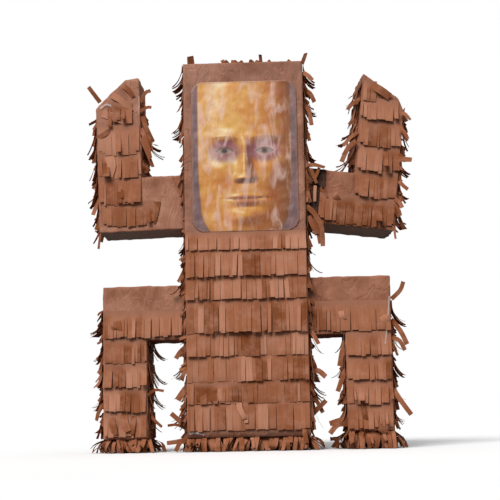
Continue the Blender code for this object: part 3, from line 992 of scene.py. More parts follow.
def arm_outline(points, droop, lift):
    cos, sin = math.cos(droop), math.sin(droop)
    turned = [Vector((x * cos + z * sin, z * cos - x * sin)) for x, z in points]
    shift = ROOT_X - HALF_W
    for root, other in ((0, 1), (-1, -2)):
        a, b = turned[root], turned[other]
        turned[root] = Vector((shift, b.y + (b.y - a.y) / (b.x - a.x) * (shift - b.x)))
    return [(p.x - shift, p.y + lift) for p in turned]


class Limb:
    """A limb's outline in (outward, up), its faces and where it stands."""

    def __init__(self, name):
        self.name = name
        if name in ARM_SHAPES:
            self.side, points, lift, self.droop, self.turn = ARM_SHAPES[name]
            self.outline = arm_outline(points, self.droop, BASE_Z + lift)
            self.plain = points
            self.foot = Vector((HALF_W - ROOT_X, BASE_Z + lift))
        else:
            self.side, out, inner, sole, under, top = LEG_SHAPES[name]
            self.droop = self.turn = 0.0
            out, inner = out - ROOT_X, inner - ROOT_X
            sole, under, top = BASE_Z + sole, BASE_Z + under, BASE_Z + top
            self.outline = [(0, under), (inner, under), (inner, sole), (out, sole), (out, top), (0, top)]
            self.plain = self.outline
            self.foot = Vector((0, 0))

    def world(self, u, v, y=0.0):
        """A point given outward and up in the limb's own directions, y back from its middle."""
        cos, sin = math.cos(self.droop), math.sin(self.droop)
        x = self.foot.x + u * cos + v * sin
        z = self.foot.y + v * cos - u * sin
        cos, sin = math.cos(self.turn), math.sin(self.turn)
        px, py = self.side * x, y
        return Vector((self.side * ROOT_X + px * cos - py * sin, px * sin + py * cos, z))

    def direction(self, u, v, y=0.0):
        return (self.world(u, v, y) - self.world(0, 0, 0)).normalized()

    def face(self, which, skin=0.0009):
        """front, back, outer or inner; across runs outward on front and back, and back on the sides."""
        up = self.direction(0, 1)
        if which in ("front", "back"):
            y = -LIMB_HALF if which == "front" else LIMB_HALF
            out = self.direction(0, 0, y)
            return Face(self.world(0, 0, y) + out * skin, self.direction(1, 0), out, up)
        u = {"outer": self.plain_out(), "inner": self.plain_in()}[which]
        out = self.direction(1, 0) * (1 if which == "outer" else -1)
        return Face(self.world(u, 0, -LIMB_HALF) + out * skin, self.direction(0, 0, 1), out, up)

    def plain_out(self):
        return max(x for x, _ in self.plain)

    def plain_in(self):
        return 0.068 if self.name in ARM_SHAPES else self.outline[1][0]

    def inside(self, u, v):
        """Whether (u, v) lies on the front face."""
        hit = False
        points = self.plain
        for i in range(len(points)):
            (x1, y1), (x2, y2) = points[i - 1], points[i]
            if (y1 > v) != (y2 > v) and u < (x2 - x1) * (v - y1) / (y2 - y1) + x1:
                hit = not hit
        return hit


# Fringe rows on each limb: top, bottom, first and last distance out, in the limb's own directions
LIMB_ROWS = {
    "left_arm": ((0.176, 0.125, 0.069, 0.138), (0.132, 0.085, 0.069, 0.138), (0.092, 0.042, 0.069, 0.138),
                 (0.048, 0.007, 0.049, 0.134)),
    "right_arm": ((0.242, 0.206, 0.070, 0.092), (0.214, 0.176, 0.069, 0.130), (0.180, 0.133, 0.069, 0.138), (0.137, 0.090, 0.069, 0.138),
                  (0.094, 0.047, 0.069, 0.138), (0.050, 0.002, 0.014, 0.138)),
}


def leg_rows(limb):
    inner, out = limb.plain_in(), limb.plain_out()
    sole, under, top = limb.outline[2][1], limb.outline[1][1], limb.outline[4][1]
    rows = [(top - 0.038, under + 0.003, 0.004, out - 0.001)]
    pitch = (under - sole) / 4
    for i in range(4):
        rows.append((under - i * pitch + 0.003, under - (i + 1) * pitch + 0.002, inner + 0.001, out - 0.001))
    return rows


# Torn patches stuck over the wrapping: path of the middle as (across, forward, up), width in mm
# (negative where it tapers to a point), tint, twist
PATCHES = {
    "left_arm": ((((-0.2300, -0.0440, 0.5480), (-0.2080, -0.0455, 0.5400), (-0.1860, -0.0440, 0.5310)), 13, 0.95, 0.1),
                 (((-0.2140, -0.0440, 0.5780), (-0.2000, -0.0460, 0.5690), (-0.1830, -0.0440, 0.5500)), 11, 0.85, 0.2),
                 (((-0.1950, -0.0440, 0.5930), (-0.1860, -0.0460, 0.5850), (-0.1790, -0.0450, 0.5740)), 8, 0.15, 0.3),
                 (((-0.2390, -0.0440, 0.5060), (-0.2260, -0.0470, 0.5130), (-0.2170, -0.0450, 0.5190)), 8, 0.2, 0.3),
                 (((-0.2190, -0.0450, 0.4760), (-0.2150, -0.0475, 0.4600), (-0.2200, -0.0465, 0.4420)), 15, 0.98, 0.0),
                 (((-0.1467, -0.0440, 0.4000), (-0.1467, -0.0455, 0.3800), (-0.1460, -0.0450, 0.3640)), -22, 0.0, 0.0),
                 (((-0.1080, -0.0440, 0.4400), (-0.1050, -0.0460, 0.4250), (-0.1040, -0.0450, 0.4080)), -18, 0.1, 0.3)),
    "right_arm": ((((0.1420, -0.0380, 0.4080), (0.1450, -0.0415, 0.4020), (0.1490, -0.0400, 0.3960)), 11, 0.0, 0.3),
                  (((0.1160, -0.0390, 0.4290), (0.1240, -0.0430, 0.4150), (0.1290, -0.0410, 0.3990)), 11, 0.1, 0.5),
                  (((0.2080, -0.0320, 0.5860), (0.2230, -0.0370, 0.5760), (0.2380, -0.0340, 0.5650)), 13, 0.25, 0.2),
                  (((0.0975, -0.0500, 0.3860), (0.1110, -0.0530, 0.3720), (0.1215, -0.0540, 0.3480), (0.1225, -0.0520, 0.3200)),
                   8, 0.1, 0.3),
                  (((0.0975, -0.0500, 0.4380), (0.0990, -0.0510, 0.4200), (0.1030, -0.0520, 0.4000)), 6, 0.0, 0.4),
                  (((0.1060, -0.0480, 0.4470), (0.1110, -0.0510, 0.4330), (0.1150, -0.0500, 0.4220)), 6, 0.05, -0.3),
                  (((0.1200, -0.0470, 0.4480), (0.1150, -0.0500, 0.4350), (0.1090, -0.0500, 0.4260)), 5, 0.0, 0.2),
                  (((0.1130, -0.0480, 0.4190), (0.1120, -0.0495, 0.4060), (0.1115, -0.0490, 0.3930)), 5, 1.0, 0.1),
                  (((0.1020, -0.0490, 0.3700), (0.1060, -0.0520, 0.3560), (0.1130, -0.0510, 0.3400)), 7, 0.15, 0.4)),
    "left_leg": ((((-0.2080, -0.0440, 0.2120), (-0.2060, -0.0470, 0.2000), (-0.2030, -0.0465, 0.1880)), 12, 0.15, 0.2),
                 (((-0.2200, -0.0440, 0.1990), (-0.2140, -0.0480, 0.1970), (-0.2080, -0.0460, 0.1930)), 6, 0.0, 0.4),
                 (((-0.2170, -0.0440, 0.0580), (-0.2150, -0.0480, 0.0440), (-0.2110, -0.0500, 0.0290)), 11, 0.1, 0.3),
                 (((-0.1980, -0.0440, 0.0640), (-0.1960, -0.0490, 0.0480), (-0.1900, -0.0520, 0.0340)), 12, 0.3, -0.4),
                 (((-0.1820, -0.0440, 0.0600), (-0.1830, -0.0480, 0.0450), (-0.1850, -0.0500, 0.0300)), 9, 0.0, 0.3)),
    "right_leg": ((((0.1480, -0.0440, 0.2180), (0.1500, -0.0475, 0.2090), (0.1530, -0.0460, 0.2030)), 9, 0.9, 0.4),
                  (((0.2140, -0.0440, 0.2110), (0.2170, -0.0475, 0.2020), (0.2210, -0.0460, 0.1950)), 14, 0.7, 0.3),
                  (((0.1790, -0.0440, 0.0700), (0.1800, -0.0480, 0.0570), (0.1830, -0.0465, 0.0450)), 8, 0.0, 0.4),
                  (((0.1960, -0.0440, 0.0420), (0.2040, -0.0490, 0.0330), (0.2130, -0.0480, 0.0250)), 11, 0.0, 0.5)),
}


class PINATA_OT_limb_paper(Operator):
    """Wrapping and fringe on the two arms and two legs"""

    bl_idname = "pinata.limb_paper"
    bl_label = "Limb wrapping and fringe"

    def execute(self, context):
        paper = context.scene.pinata_paper
        for number, name in enumerate(("left_arm", "right_arm", "left_leg", "right_leg")):
            limb = Limb(name)
            rng = random.Random(500 + number)
            count = len(limb.outline)
            skin = offset_outline(limb.outline, [0.0005] * (count - 1) + [-0.0006])
            points = [(limb.side * x, z) for x, z in skin]
            ob = prism_piece(f"{name}_wrapping", points, (limb.side * ROOT_X, 0, 0), LIMB_HALF + 0.0005, limb.turn,
                             0.006, 0.0022)
            wrinkled(ob, 0.0019, 0.021, 11 + number, raw_board_and_shade_under="arm" in name)
            hand_over(ob, "figure", [f"{name}_cover"])
            bm = bmesh.new()
            rows = LIMB_ROWS.get(name) or leg_rows(limb)
            for top, bottom, first, last in rows:
                tint = rng.uniform(0.15, 0.4) if name == "right_arm" else rng.uniform(0.4, 0.65)
                style = {**FRONT_STYLE, "tint": tint, "wild": 0.05, "ragged": 0.06,
                         "hem": 0.2 if "arm" in name else 0.05}
                fringe_row(bm, rng, limb.face("front"), first, last, top, bottom, paper, style,
                           keep=limb.inside, slope=rng.uniform(-0.01, 0.01))
                fringe_row(bm, rng, limb.face("back"), first, last, top, bottom, paper, style, keep=limb.inside)
                depth = 2 * LIMB_HALF
                high = min(top, limb.plain[2][1] if name in ARM_SHAPES else top)
                fringe_row(bm, rng, limb.face("outer"), 0.001, depth - 0.001, high, bottom, paper,
                           {**SIDE_STYLE, "wild": 0.25})
                beside_gap = first > 0.03 and not (name in ARM_SHAPES and bottom < ARM_H)
                if beside_gap:
                    fringe_row(bm, rng, limb.face("inner"), 0.001, depth - 0.001, top, bottom, paper, SIDE_STYLE)
            for points, wide, tint, spin in PATCHES.get(name, ()):
                loose_strip(bm, rng, points, abs(wide) * 0.001, tint, (0, -1, 0), spin, 0.15 if wide < 0 else 0.92)
            if name == "left_arm":
                ragged = {**FRONT_STYLE, "tint": 0.1, "ragged": 0.25, "lean": (3, 6)}
                fringe_row(bm, rng, limb.face("front"), 0.080, 0.120, 0.212, 0.176, paper, ragged)
                fringe_row(bm, rng, limb.face("front"), 0.084, 0.110, 0.080, 0.048, paper, ragged)
            if name == "right_arm":
                self.root_gap(limb, paper)
            finish_paper(f"{name}_tabs", bm, paper, "figure", [])
        return {"FINISHED"}


    def root_gap(self, limb, paper):
        """Torn strips of dark crepe in the gap where the right arm meets the body: painted shade standing for the
        shadow in that recess.
        """
        rng = random.Random(771)
        bm = bmesh.new()
        style = {**FRONT_STYLE, "ragged": 0.2, "lean": (1, 3), "curl": (0, 6), "twist": 6, "width": 0.6}
        for top, bottom, last in ((0.087, 0.056, 0.021), (0.062, 0.028, 0.014), (0.036, 0.001, 0.018)):
            fringe_row(bm, rng, limb.face("front", 0.0016), -0.0015, last, top, bottom, paper, style)
        finish_paper("right_arm_root_tabs", bm, paper, "figure", [], "painted_shade_crepe")


class PINATA_OT_bottom_tufts(Operator):
    """Loose fringe under the body and the feet, pressed against the floor"""

    bl_idname = "pinata.bottom_tufts"
    bl_label = "Bottom tufts"

    def execute(self, context):
        paper = context.scene.pinata_paper
        for number, (name, density) in enumerate((("body_skirt", 0.0062), ("left_leg_foot_tuft", 0.0048),
                                                  ("right_leg_foot_tuft", 0.0048))):
            rng = random.Random(700 + number)
            lo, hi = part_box(name)
            bm = bmesh.new()
            inset = 0.005
            corners = [Vector((x, y, hi.z)) for x, y in (
                (lo.x + inset, lo.y + inset), (hi.x - inset, lo.y + inset),
                (hi.x - inset, hi.y - inset), (lo.x + inset, hi.y - inset))]
            for i in range(4):
                a, b = corners[i], corners[(i + 1) % 4]
                run = b - a
                out = Vector((run.y, -run.x, 0)).normalized()
                count = int(run.length / density)
                for k in range(count * 2):
                    spot = a + run * ((k / 2 + rng.uniform(0, 0.9)) / count)
                    inner = spot - out * rng.uniform(0.0, 0.014)
                    reach = rng.uniform(-0.004, 0.016) if rng.random() < 0.8 else rng.uniform(0.014, 0.03)
                    aside = run.normalized() * rng.gauss(0, 0.005)
                    foot = inner + out * reach + aside
                    foot.z = rng.uniform(0.0006, hi.z * 0.55) if rng.random() < 0.55 else 0.0008
                    knee = (inner + foot) / 2 + out * rng.uniform(0.002, 0.008)
                    knee.z = max(foot.z + 0.001, hi.z * rng.uniform(0.35, 0.7))
                    loose_strip(bm, rng, (inner, knee, foot), rng.uniform(0.004, 0.009),
                                rng.choice((0.05, 0.2, 0.35, 0.5)), out, rng.gauss(0, 0.5))
            for k in range(int((hi.x - lo.x) * (hi.y - lo.y) / 0.00016)):
                start = Vector((rng.uniform(lo.x + 0.01, hi.x - 0.01), rng.uniform(lo.y + 0.01, hi.y - 0.01), hi.z))
                end = start + Vector((rng.uniform(-0.02, 0.02), rng.uniform(-0.02, 0.02), 0))
                end.x, end.y = min(hi.x, max(lo.x, end.x)), min(hi.y, max(lo.y, end.y))
                end.z = 0.0008
                knee = (start + end) / 2 + Vector((rng.uniform(-0.006, 0.006), rng.uniform(-0.006, 0.006), 0))
                loose_strip(bm, rng, (start, knee, end), rng.uniform(0.005, 0.009), rng.uniform(0, 0.3),
                            (rng.uniform(-1, 1), rng.uniform(-1, 1), 0.2), rng.gauss(0, 0.4))
            for v in bm.verts:
                v.co.z = min(hi.z + 0.0002, max(0.0003, v.co.z))
            finish_paper(f"{name}_strips", bm, paper, "figure", [name])
        return {"FINISHED"}


# Stray strips: where each starts and ends as (across, up) in metres, its width and tint
STRAY = {
    "arm_strips": (
        ((-0.2355, 0.5700), (-0.2537, 0.5949), 8, 0.2), ((-0.1679, 0.5659), (-0.1499, 0.5816), 7, 0.3),
        ((-0.1682, 0.5499), (-0.1489, 0.5543), 6, 0.2), ((-0.1651, 0.5435), (-0.1469, 0.4983), 9, 0.1),
        ((-0.1653, 0.5339), (-0.1504, 0.4824), 9, 0.0), ((-0.1672, 0.5227), (-0.1507, 0.4696), 8, 0.1),
        ((-0.1675, 0.5067), (-0.1477, 0.4567), 7, 0.2),
        ((0.2492, 0.4612), (0.2688, 0.4576), 10, 0.2), ((0.2557, 0.5379), (0.2698, 0.5248), 8, 0.3),
        ((0.2504, 0.5140), (0.2626, 0.4897), 7, 0.1), ((0.2485, 0.4260), (0.2610, 0.4097), 7, 0.2),
        ((0.1900, 0.5639), (0.1680, 0.5433), 7, 0.1), ((0.1840, 0.5078), (0.1600, 0.4841), 7, 0.2),
        ((0.1810, 0.4918), (0.1560, 0.4560), 9, 0.1)),
    "side_strips": (
        ((0.0970, 0.4532), (0.1289, 0.4477), 8, 0.1), ((0.1077, 0.4289), (0.1039, 0.3970), 7, 0.0),
        ((0.1165, 0.3887), (0.1123, 0.3408), 8, 0.2), ((0.1067, 0.3809), (0.1184, 0.3247), 7, 0.1),
        ((0.1242, 0.3726), (0.1201, 0.3327), 8, 0.1), ((0.0965, 0.5812), (0.1152, 0.5568), 8, 0.1),
        ((0.0960, 0.5572), (0.1096, 0.5169), 8, 0.2), ((0.0970, 0.6052), (0.1127, 0.5889), 8, 0.4),
        ((0.0954, 0.5252), (0.1059, 0.4930), 7, 0.1), ((-0.0835, 0.6218), (-0.0831, 0.6378), 13, 0.3),
        ((0.0303, 0.6220), (0.0307, 0.6446), 6, 0.1), ((0.0965, 0.6190), (0.1028, 0.6470), 7, 0.2),
        ((0.0982, 0.1251), (0.1219, 0.1134), 10, 0.2), ((0.0967, 0.0531), (0.1212, 0.0766), 9, 0.2),
        ((0.0963, 0.1891), (0.1118, 0.1648), 8, 0.2), ((0.0943, 0.0931), (0.1160, 0.0575), 8, 0.1),
        ((-0.0957, 0.0363), (-0.1240, 0.0609), 9, 0.2), ((-0.0960, 0.0330), (-0.1290, 0.0420), 5, 0.1),
        ((-0.0927, 0.1051), (-0.1124, 0.0815), 12, 0.15), ((-0.1000, 0.1647), (-0.1142, 0.1471), 9, 0.1)),
    "leg_strips": (
        ((-0.1605, 0.0620), (-0.1380, 0.0400), 6, 0.1), ((-0.1605, 0.0900), (-0.1330, 0.0960), 5, 0.0),
        ((0.2290, 0.2343), (0.2483, 0.2612), 8, 0.2), ((0.2280, 0.2023), (0.2510, 0.1619), 9, 0.1),
        ((0.2280, 0.1742), (0.2474, 0.1527), 8, 0.2), ((0.2275, 0.0923), (0.2533, 0.0518), 9, 0.2),
        ((0.1545, 0.1700), (0.1440, 0.1300), 9, 0.2), ((0.1545, 0.1250), (0.1400, 0.0900), 9, 0.1),
        ((0.1545, 0.0480), (0.1260, 0.0400), 10, 0.1), ((0.1545, 0.0400), (0.1260, 0.0250), 10, 0.05)),
    "floor_strips": (
        ((-0.0960, 0.0200), (-0.1282, 0.0150), 8, 0.2), ((-0.0950, 0.0180), (-0.1143, 0.0020), 8, 0.15),
        ((-0.0850, 0.0180), (-0.1000, 0.0010), 8, 0.2), ((-0.0693, 0.0200), (-0.0700, 0.0010), 8, 0.15),
        ((-0.0500, 0.0200), (-0.0426, 0.0008), 8, 0.3), ((-0.0289, 0.0200), (-0.0294, 0.0010), 7, 0.1),
        ((-0.0144, 0.0234), (-0.0117, 0.0010), 9, 0.05), ((0.0032, 0.0214), (0.0044, 0.0038), 6, 0.9),
        ((0.0142, 0.0180), (0.0122, 0.0010), 8, 0.2), ((0.0759, 0.0180), (0.0753, 0.0010), 7, 0.15),
        ((0.0890, 0.0360), (0.0885, 0.0120), 9, 0.05)),
}


# Edges where the side fringe shows: across, low, high, which way it leans, reach in mm, how thick it grows
SHAGGY = {
    "body_edge_shag": ((-0.0965, 0.040, 0.340, -1, 13, 1.5), (-0.0965, 0.450, 0.612, -1, 8, 0.8),
                       (-0.0965, 0.340, 0.450, -1, 5, 0.8), (0.0965, 0.040, 0.340, 1, 9, 1.4),
                       (0.0965, 0.340, 0.612, 1, 10, 1.0)),
    "arm_edge_shag": (((-0.2350, -0.2400), 0.365, 0.560, -1, 12, 0.9), ((-0.1668, -0.1700), 0.455, 0.585, 1, 13, 1.2),
                      ((0.2385, 0.2590), 0.365, 0.550, 1, 11, 0.9), ((0.1770, 0.1940), 0.470, 0.590, -1, 12, 0.8),
                      (0.1030, 0.375, 0.456, 1, 9, 2.4), (0.1090, 0.380, 0.440, 1, 4, 1.6),
                      (-0.1010, 0.380, 0.445, -1, 4, 1.0)),
    "leg_edge_shag": ((-0.2295, 0.040, 0.235, -1, 14, 1.0), (-0.1600, 0.035, 0.160, 1, 6, 0.6),
                      (0.2275, 0.040, 0.200, 1, 11, 1.0), (0.1545, 0.040, 0.165, -1, 10, 0.9)),
}


class PINATA_OT_edge_shag(Operator):
    """Ends of the side fringe that turn forward and stand out past the front edges"""

    bl_idname = "pinata.edge_shag"
    bl_label = "Edge shag"

    def execute(self, context):
        paper = context.scene.pinata_paper
        for number, (name, edges) in enumerate(SHAGGY.items()):
            rng = random.Random(1300 + number)
            bm = bmesh.new()
            front = {"body_edge_shag": FRONT_Y + 0.003, "arm_edge_shag": -LIMB_HALF + 0.003,
                     "leg_edge_shag": -LIMB_HALF + 0.003}[name]
            for x, low, high, away, reach, thick in edges:
                z = high
                while z > low:
                    z -= rng.uniform(0.0035, 0.0085) / thick
                    here = x if isinstance(x, float) else x[0] + (x[1] - x[0]) * (z - low) / (high - low)
                    root = Vector((here - away * 0.001, front + rng.uniform(0, 0.045), z))
                    for _ in range(rng.choice((1, 1, 2, 3))):
                        length = rng.uniform(0.012, 0.034)
                        out = min(length * 0.8, 0.001 * reach * rng.uniform(0.15, 1.0) * (1.6 if rng.random() < 0.15 else 1))
                        drop = math.sqrt(length ** 2 - out ** 2) * rng.choice((1, 1, 1, 0.7))
                        bow = rng.uniform(0.2, 0.75)
                        middle = root + Vector((away * out * bow, -rng.uniform(0, 0.003), -drop * 0.5))
                        end = root + Vector((away * out, -rng.uniform(-0.003, 0.005), -drop))
                        end.z = max(0.002, end.z)
                        turned = (rng.gauss(0, 0.5), -1, rng.gauss(0, 0.2))
                        loose_strip(bm, rng, (root, middle, end), rng.uniform(0.003, 0.008),
                                    rng.choice((0.0, 0.0, 0.1, 0.2, 0.35)), turned, rng.gauss(0, 0.7))
            finish_paper(name, bm, paper, "figure", [])
        return {"FINISHED"}


# Clear tape that shows: path of its middle as (across, forward, up), and width in mm
CLEAR_TAPES = (
    (((-0.2330, -0.0445, 0.5560), (-0.2240, -0.0450, 0.5625), (-0.2150, -0.0450, 0.5600)), 3.2),
    (((-0.1700, -0.0450, 0.5750), (-0.1695, -0.0450, 0.5600), (-0.1700, -0.0450, 0.5450)), 1.3),
    (((0.2255, -0.0455, 0.2390), (0.2215, -0.0460, 0.1990), (0.2165, -0.0455, 0.1630)), 2.2),
    (((-0.0930, -0.0575, 0.0290), (-0.0830, -0.0585, 0.0300), (-0.0700, -0.0580, 0.0270)), 3),
)


class PINATA_OT_clear_tapes(Operator):
    """Bits of clear sticky tape that hold corners of the paper down"""

    bl_idname = "pinata.clear_tapes"
    bl_label = "Clear tape"

    def execute(self, context):
        paper = context.scene.pinata_paper
        rng = random.Random(61)
        bm = bmesh.new()
        for points, wide in CLEAR_TAPES:
            loose_strip(bm, rng, points, wide * 0.001, 0.5, (0, -1, 0), rng.gauss(0, 0.1))
        finish_paper("clear_tapes", bm, paper, "figure", [], "clear_tape")
        return {"FINISHED"}


class PINATA_OT_stray_strips(Operator):
    """Single strips that have come away from the fringe at the edges"""

    bl_idname = "pinata.stray_strips"
    bl_label = "Stray strips"

    def execute(self, context):
        paper = context.scene.pinata_paper
        for number, (name, strips) in enumerate(STRAY.items()):
            rng = random.Random(900 + number)
            bm = bmesh.new()
            if name == "side_strips":
                self.top_bits(bm, rng)
            for (x1, z1), (x2, z2), wide, tint in strips:
                depth = {"floor_strips": FRONT_Y + 0.002}.get(name, rng.uniform(-0.045, -0.030))
                if z1 > 0.6:
                    depth = FRONT_Y + 0.004
                start = Vector((x1, depth, z1))
                end = Vector((x2, depth - rng.uniform(0.004, 0.014), z2))
                away = 1 if x2 > x1 else -1
                middle = (start + end) / 2
                middle.x += rng.uniform(-0.002, 0.004) * away
                middle.z += rng.uniform(-0.002, 0.006)
                middle.y -= 0.003
                loose_strip(bm, rng, (start, middle, end), wide * 0.0009, tint, (0, -1, 0), rng.gauss(0, 0.35))
            finish_paper(name, bm, paper, "figure", [])
        return {"FINISHED"}

    def top_bits(self, bm, rng):
        """Small ends that stick up along the back of the top edge."""
        for _ in range(16):
            x = rng.choice((rng.uniform(-0.09, 0.09), rng.uniform(-0.05, 0.03)))
            root = Vector((x, FRONT_Y + rng.uniform(0.002, 0.014), TOP_Z - 0.002))
            tip = root + Vector((rng.uniform(-0.007, 0.007), -0.003, rng.uniform(0.005, 0.011)))
            loose_strip(bm, rng, (root, (root + tip) / 2 + Vector((0, -0.002, 0.001)), tip), rng.uniform(0.005, 0.009),
                        rng.choice((0, 0.1, 0.3)), (0, -1, 0), rng.gauss(0, 0.4))


# ---------------------------------------------------------------- the printed sheet


def bump_at(x, y, cx, cy, rx, ry):
    return np.exp(-(((x - cx) / rx) ** 2 + ((y - cy) / ry) ** 2))


def smooth_step(low, high, value):
    t = np.clip((value - low) / (high - low), 0, 1)
    return t * t * (3 - 2 * t)


def mask_layers(x, y):
    """A calm, even mask face on drawing-book proportions: x from -1 to 1 across the sheet, y from 0 to 1 up it.
    The eyes are on the middle line of the face, the nose ends halfway down from them to the chin."""
    eye_y, nose_y, mouth_y = 0.53, 0.335, 0.215
    mirrored = np.abs(x)
    relief = 0.95 * np.sqrt(np.clip(1.12 - (x / 1.02) ** 2 - ((y - 0.5) / 0.78) ** 2, 0.01, 2))
    relief += 0.10 * bump_at(mirrored, y, 0.36, 0.625, 0.30, 0.035)
    relief -= 0.17 * bump_at(mirrored, y, 0.38, eye_y, 0.24, 0.055)
    relief += 0.12 * bump_at(mirrored, y, 0.38, eye_y, 0.17, 0.028)
    relief += 0.10 * bump_at(mirrored, y, 0.52, 0.40, 0.24, 0.09)
    length = np.clip((0.60 - y) / (0.60 - nose_y), 0, 1)
    fall = smooth_step(nose_y - 0.02, nose_y + 0.02, y) * smooth_step(0.66, 0.58, y)
    relief += (0.10 + 0.24 * length) * np.exp(-((x / (0.07 + 0.06 * length)) ** 2)) * fall
    relief += 0.11 * bump_at(mirrored, y, 0.13, nose_y + 0.02, 0.07, 0.022)
    relief += 0.07 * bump_at(x, y, 0, mouth_y + 0.016, 0.24, 0.014)
    relief += 0.09 * bump_at(x, y, 0, mouth_y - 0.018, 0.20, 0.018)
    relief -= 0.09 * bump_at(x, y, 0, mouth_y, 0.26, 0.006)
    relief += 0.12 * bump_at(x, y, 0, 0.10, 0.26, 0.05)
    relief -= 0.05 * bump_at(x, y, 0, 0.155, 0.24, 0.016)
    down, across = np.gradient(relief)
    down /= np.gradient(y, axis=0) * 2.88
    across /= np.gradient(x, axis=1)
    length = np.sqrt(across ** 2 + down ** 2 + 1)
    light = Vector((-0.45, 0.5, 0.75)).normalized()
    shade = (-across * light.x - down * light.y + light.z) / length
    glint = np.clip(shade, 0, 1) ** 18 * 0.45
    shade = np.clip(0.12 + 0.62 * shade + glint, 0, 1)
    half_width = 0.86 - 0.06 * smooth_step(0.45, 0.0, y) - 0.35 * smooth_step(0.2, -0.12, y) ** 2
    margin = smooth_step(half_width, half_width + 0.035, mirrored)
    opening = ((mirrored - 0.38) / 0.27) ** 2 + ((y - eye_y) / 0.062) ** 2
    mauve = smooth_step(2.1, 0.5, opening)
    lid = (eye_y + 0.026 * (1 - ((mirrored - 0.38) / 0.17) ** 2))
    under = (eye_y - 0.018 * (1 - ((mirrored - 0.38) / 0.17) ** 2))
    inside = (mirrored > 0.21) & (mirrored < 0.55)
    eye = smooth_step(-0.002, 0.003, lid - y) * smooth_step(-0.002, 0.003, y - under) * inside
    iris = ((mirrored - 0.38) / 0.062) ** 2 + ((y - eye_y - 0.004) / 0.0215) ** 2
    lash = np.exp(-(((y - lid) / 0.0045) ** 2)) * inside
    brow = np.exp(-(((y - (0.612 + 0.016 * (1 - ((mirrored - 0.38) / 0.26) ** 2))) / 0.006) ** 2)) * (mirrored > 0.14) * (mirrored < 0.62)
    pupil = ((mirrored - 0.38) / 0.030) ** 2 + ((y - eye_y - 0.004) / 0.0104) ** 2
    dark = np.clip(eye * smooth_step(1.3, 0.7, pupil) + 0.85 * lash + 0.45 * brow, 0, 1)
    iris = eye * smooth_step(1.2, 0.8, iris)
    lips = ((x / 0.25) ** 2 + ((y - mouth_y + 0.002) / 0.030) ** 2)
    lip = smooth_step(1.1, 0.8, lips) * 0.55
    seam = np.exp(-(((y - mouth_y - 0.002 * np.cos(x * 12)) / 0.0032) ** 2)) * (mirrored < 0.24)
    dark = np.clip(dark + 0.6 * seam, 0, 1)
    return {"shade": shade, "margin": margin, "mauve": mauve * 0.8, "eye": eye, "iris": iris, "dark": dark, "lip": lip}


class PINATA_OT_print_sheet(Operator):
    """The laminated mask print on the front of the head, rippled like the paper under it"""

    bl_idname = "pinata.print_sheet"
    bl_label = "Printed mask sheet"

    def execute(self, context):
        settings = context.scene.pinata_print
        lo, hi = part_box("face_print")
        width, height = hi.x - lo.x, hi.z - lo.z
        across = settings.steps
        up = int(across * height / width)
        bm = bmesh.new()
        bmesh.ops.create_grid(bm, x_segments=across, y_segments=up, size=0.5)
        radius = 0.020
        gone = []
        for f in bm.faces:
            c = f.calc_center_median()
            x, z = abs(c.x) * width, abs(c.y) * height
            dx, dz = x - (width / 2 - radius), z - (height / 2 - radius)
            if dx > 0 and dz > 0 and math.hypot(dx, dz) > radius:
                gone.append(f)
        bmesh.ops.delete(bm, geom=gone, context="FACES")
        mesh = bpy.data.meshes.new("mask_sheet")
        bm.to_mesh(mesh)
        bm.free()
        co = np.zeros(len(mesh.vertices) * 3)
        mesh.vertices.foreach_get("co", co)
        co = co.reshape(-1, 3)
        column = np.rint((co[:, 0] + 0.5) * across).astype(int)
        row = np.rint((co[:, 1] + 0.5) * up).astype(int)
        gx, gy = np.meshgrid(np.linspace(-1, 1, across + 1), np.linspace(0, 1, up + 1))
        layers = mask_layers(gx, gy)
        dx = np.clip(np.abs(co[:, 0]) * width - (width / 2 - radius), 0, None)
        dz = np.clip(np.abs(co[:, 1]) * height - (height / 2 - radius), 0, None)
        to_edge = radius - np.hypot(dx, dz)
        layers_flat = {k: v[row, column] for k, v in layers.items()}
        layers_flat["faded"] = np.clip(1 - to_edge / 0.0035, 0, 1) * 0.75
        for key, values in layers_flat.items():
            mesh.attributes.new(key, "FLOAT", "POINT").data.foreach_set("value", values.astype(np.float32))
        front = hi.y
        for i, v in enumerate(mesh.vertices):
            x, z = (lo.x + hi.x) / 2 + co[i, 0] * width, (lo.z + hi.z) / 2 + co[i, 1] * height
            p = Vector((x, 0, z))
            ripple = noise.noise(Vector((x / 0.020, 3, z / 0.055))) + 0.5 * noise.noise(p / 0.012 + Vector((7, 1, 2)))
            lift = 0.0009 * max(-0.5, ripple) * min(1, max(0, to_edge[i]) / 0.006)
            v.co = (x, front - 0.0009 - lift, z)
        mesh.materials.append(material("printed_mask"))
        ob = bpy.data.objects.new("mask_sheet", mesh)
        context.scene.collection.objects.link(ob)
        for polygon in mesh.polygons[:1]:
            if polygon.normal.y > 0:
                mesh.flip_normals()
        thick = ob.modifiers.new("Film", "SOLIDIFY")
        thick.thickness = 0.0003
        thick.offset = -1
        mesh.shade_smooth()
        hand_over(ob, "figure", ["face_print"])
        return {"FINISHED"}


# ---------------------------------------------------------------- stage


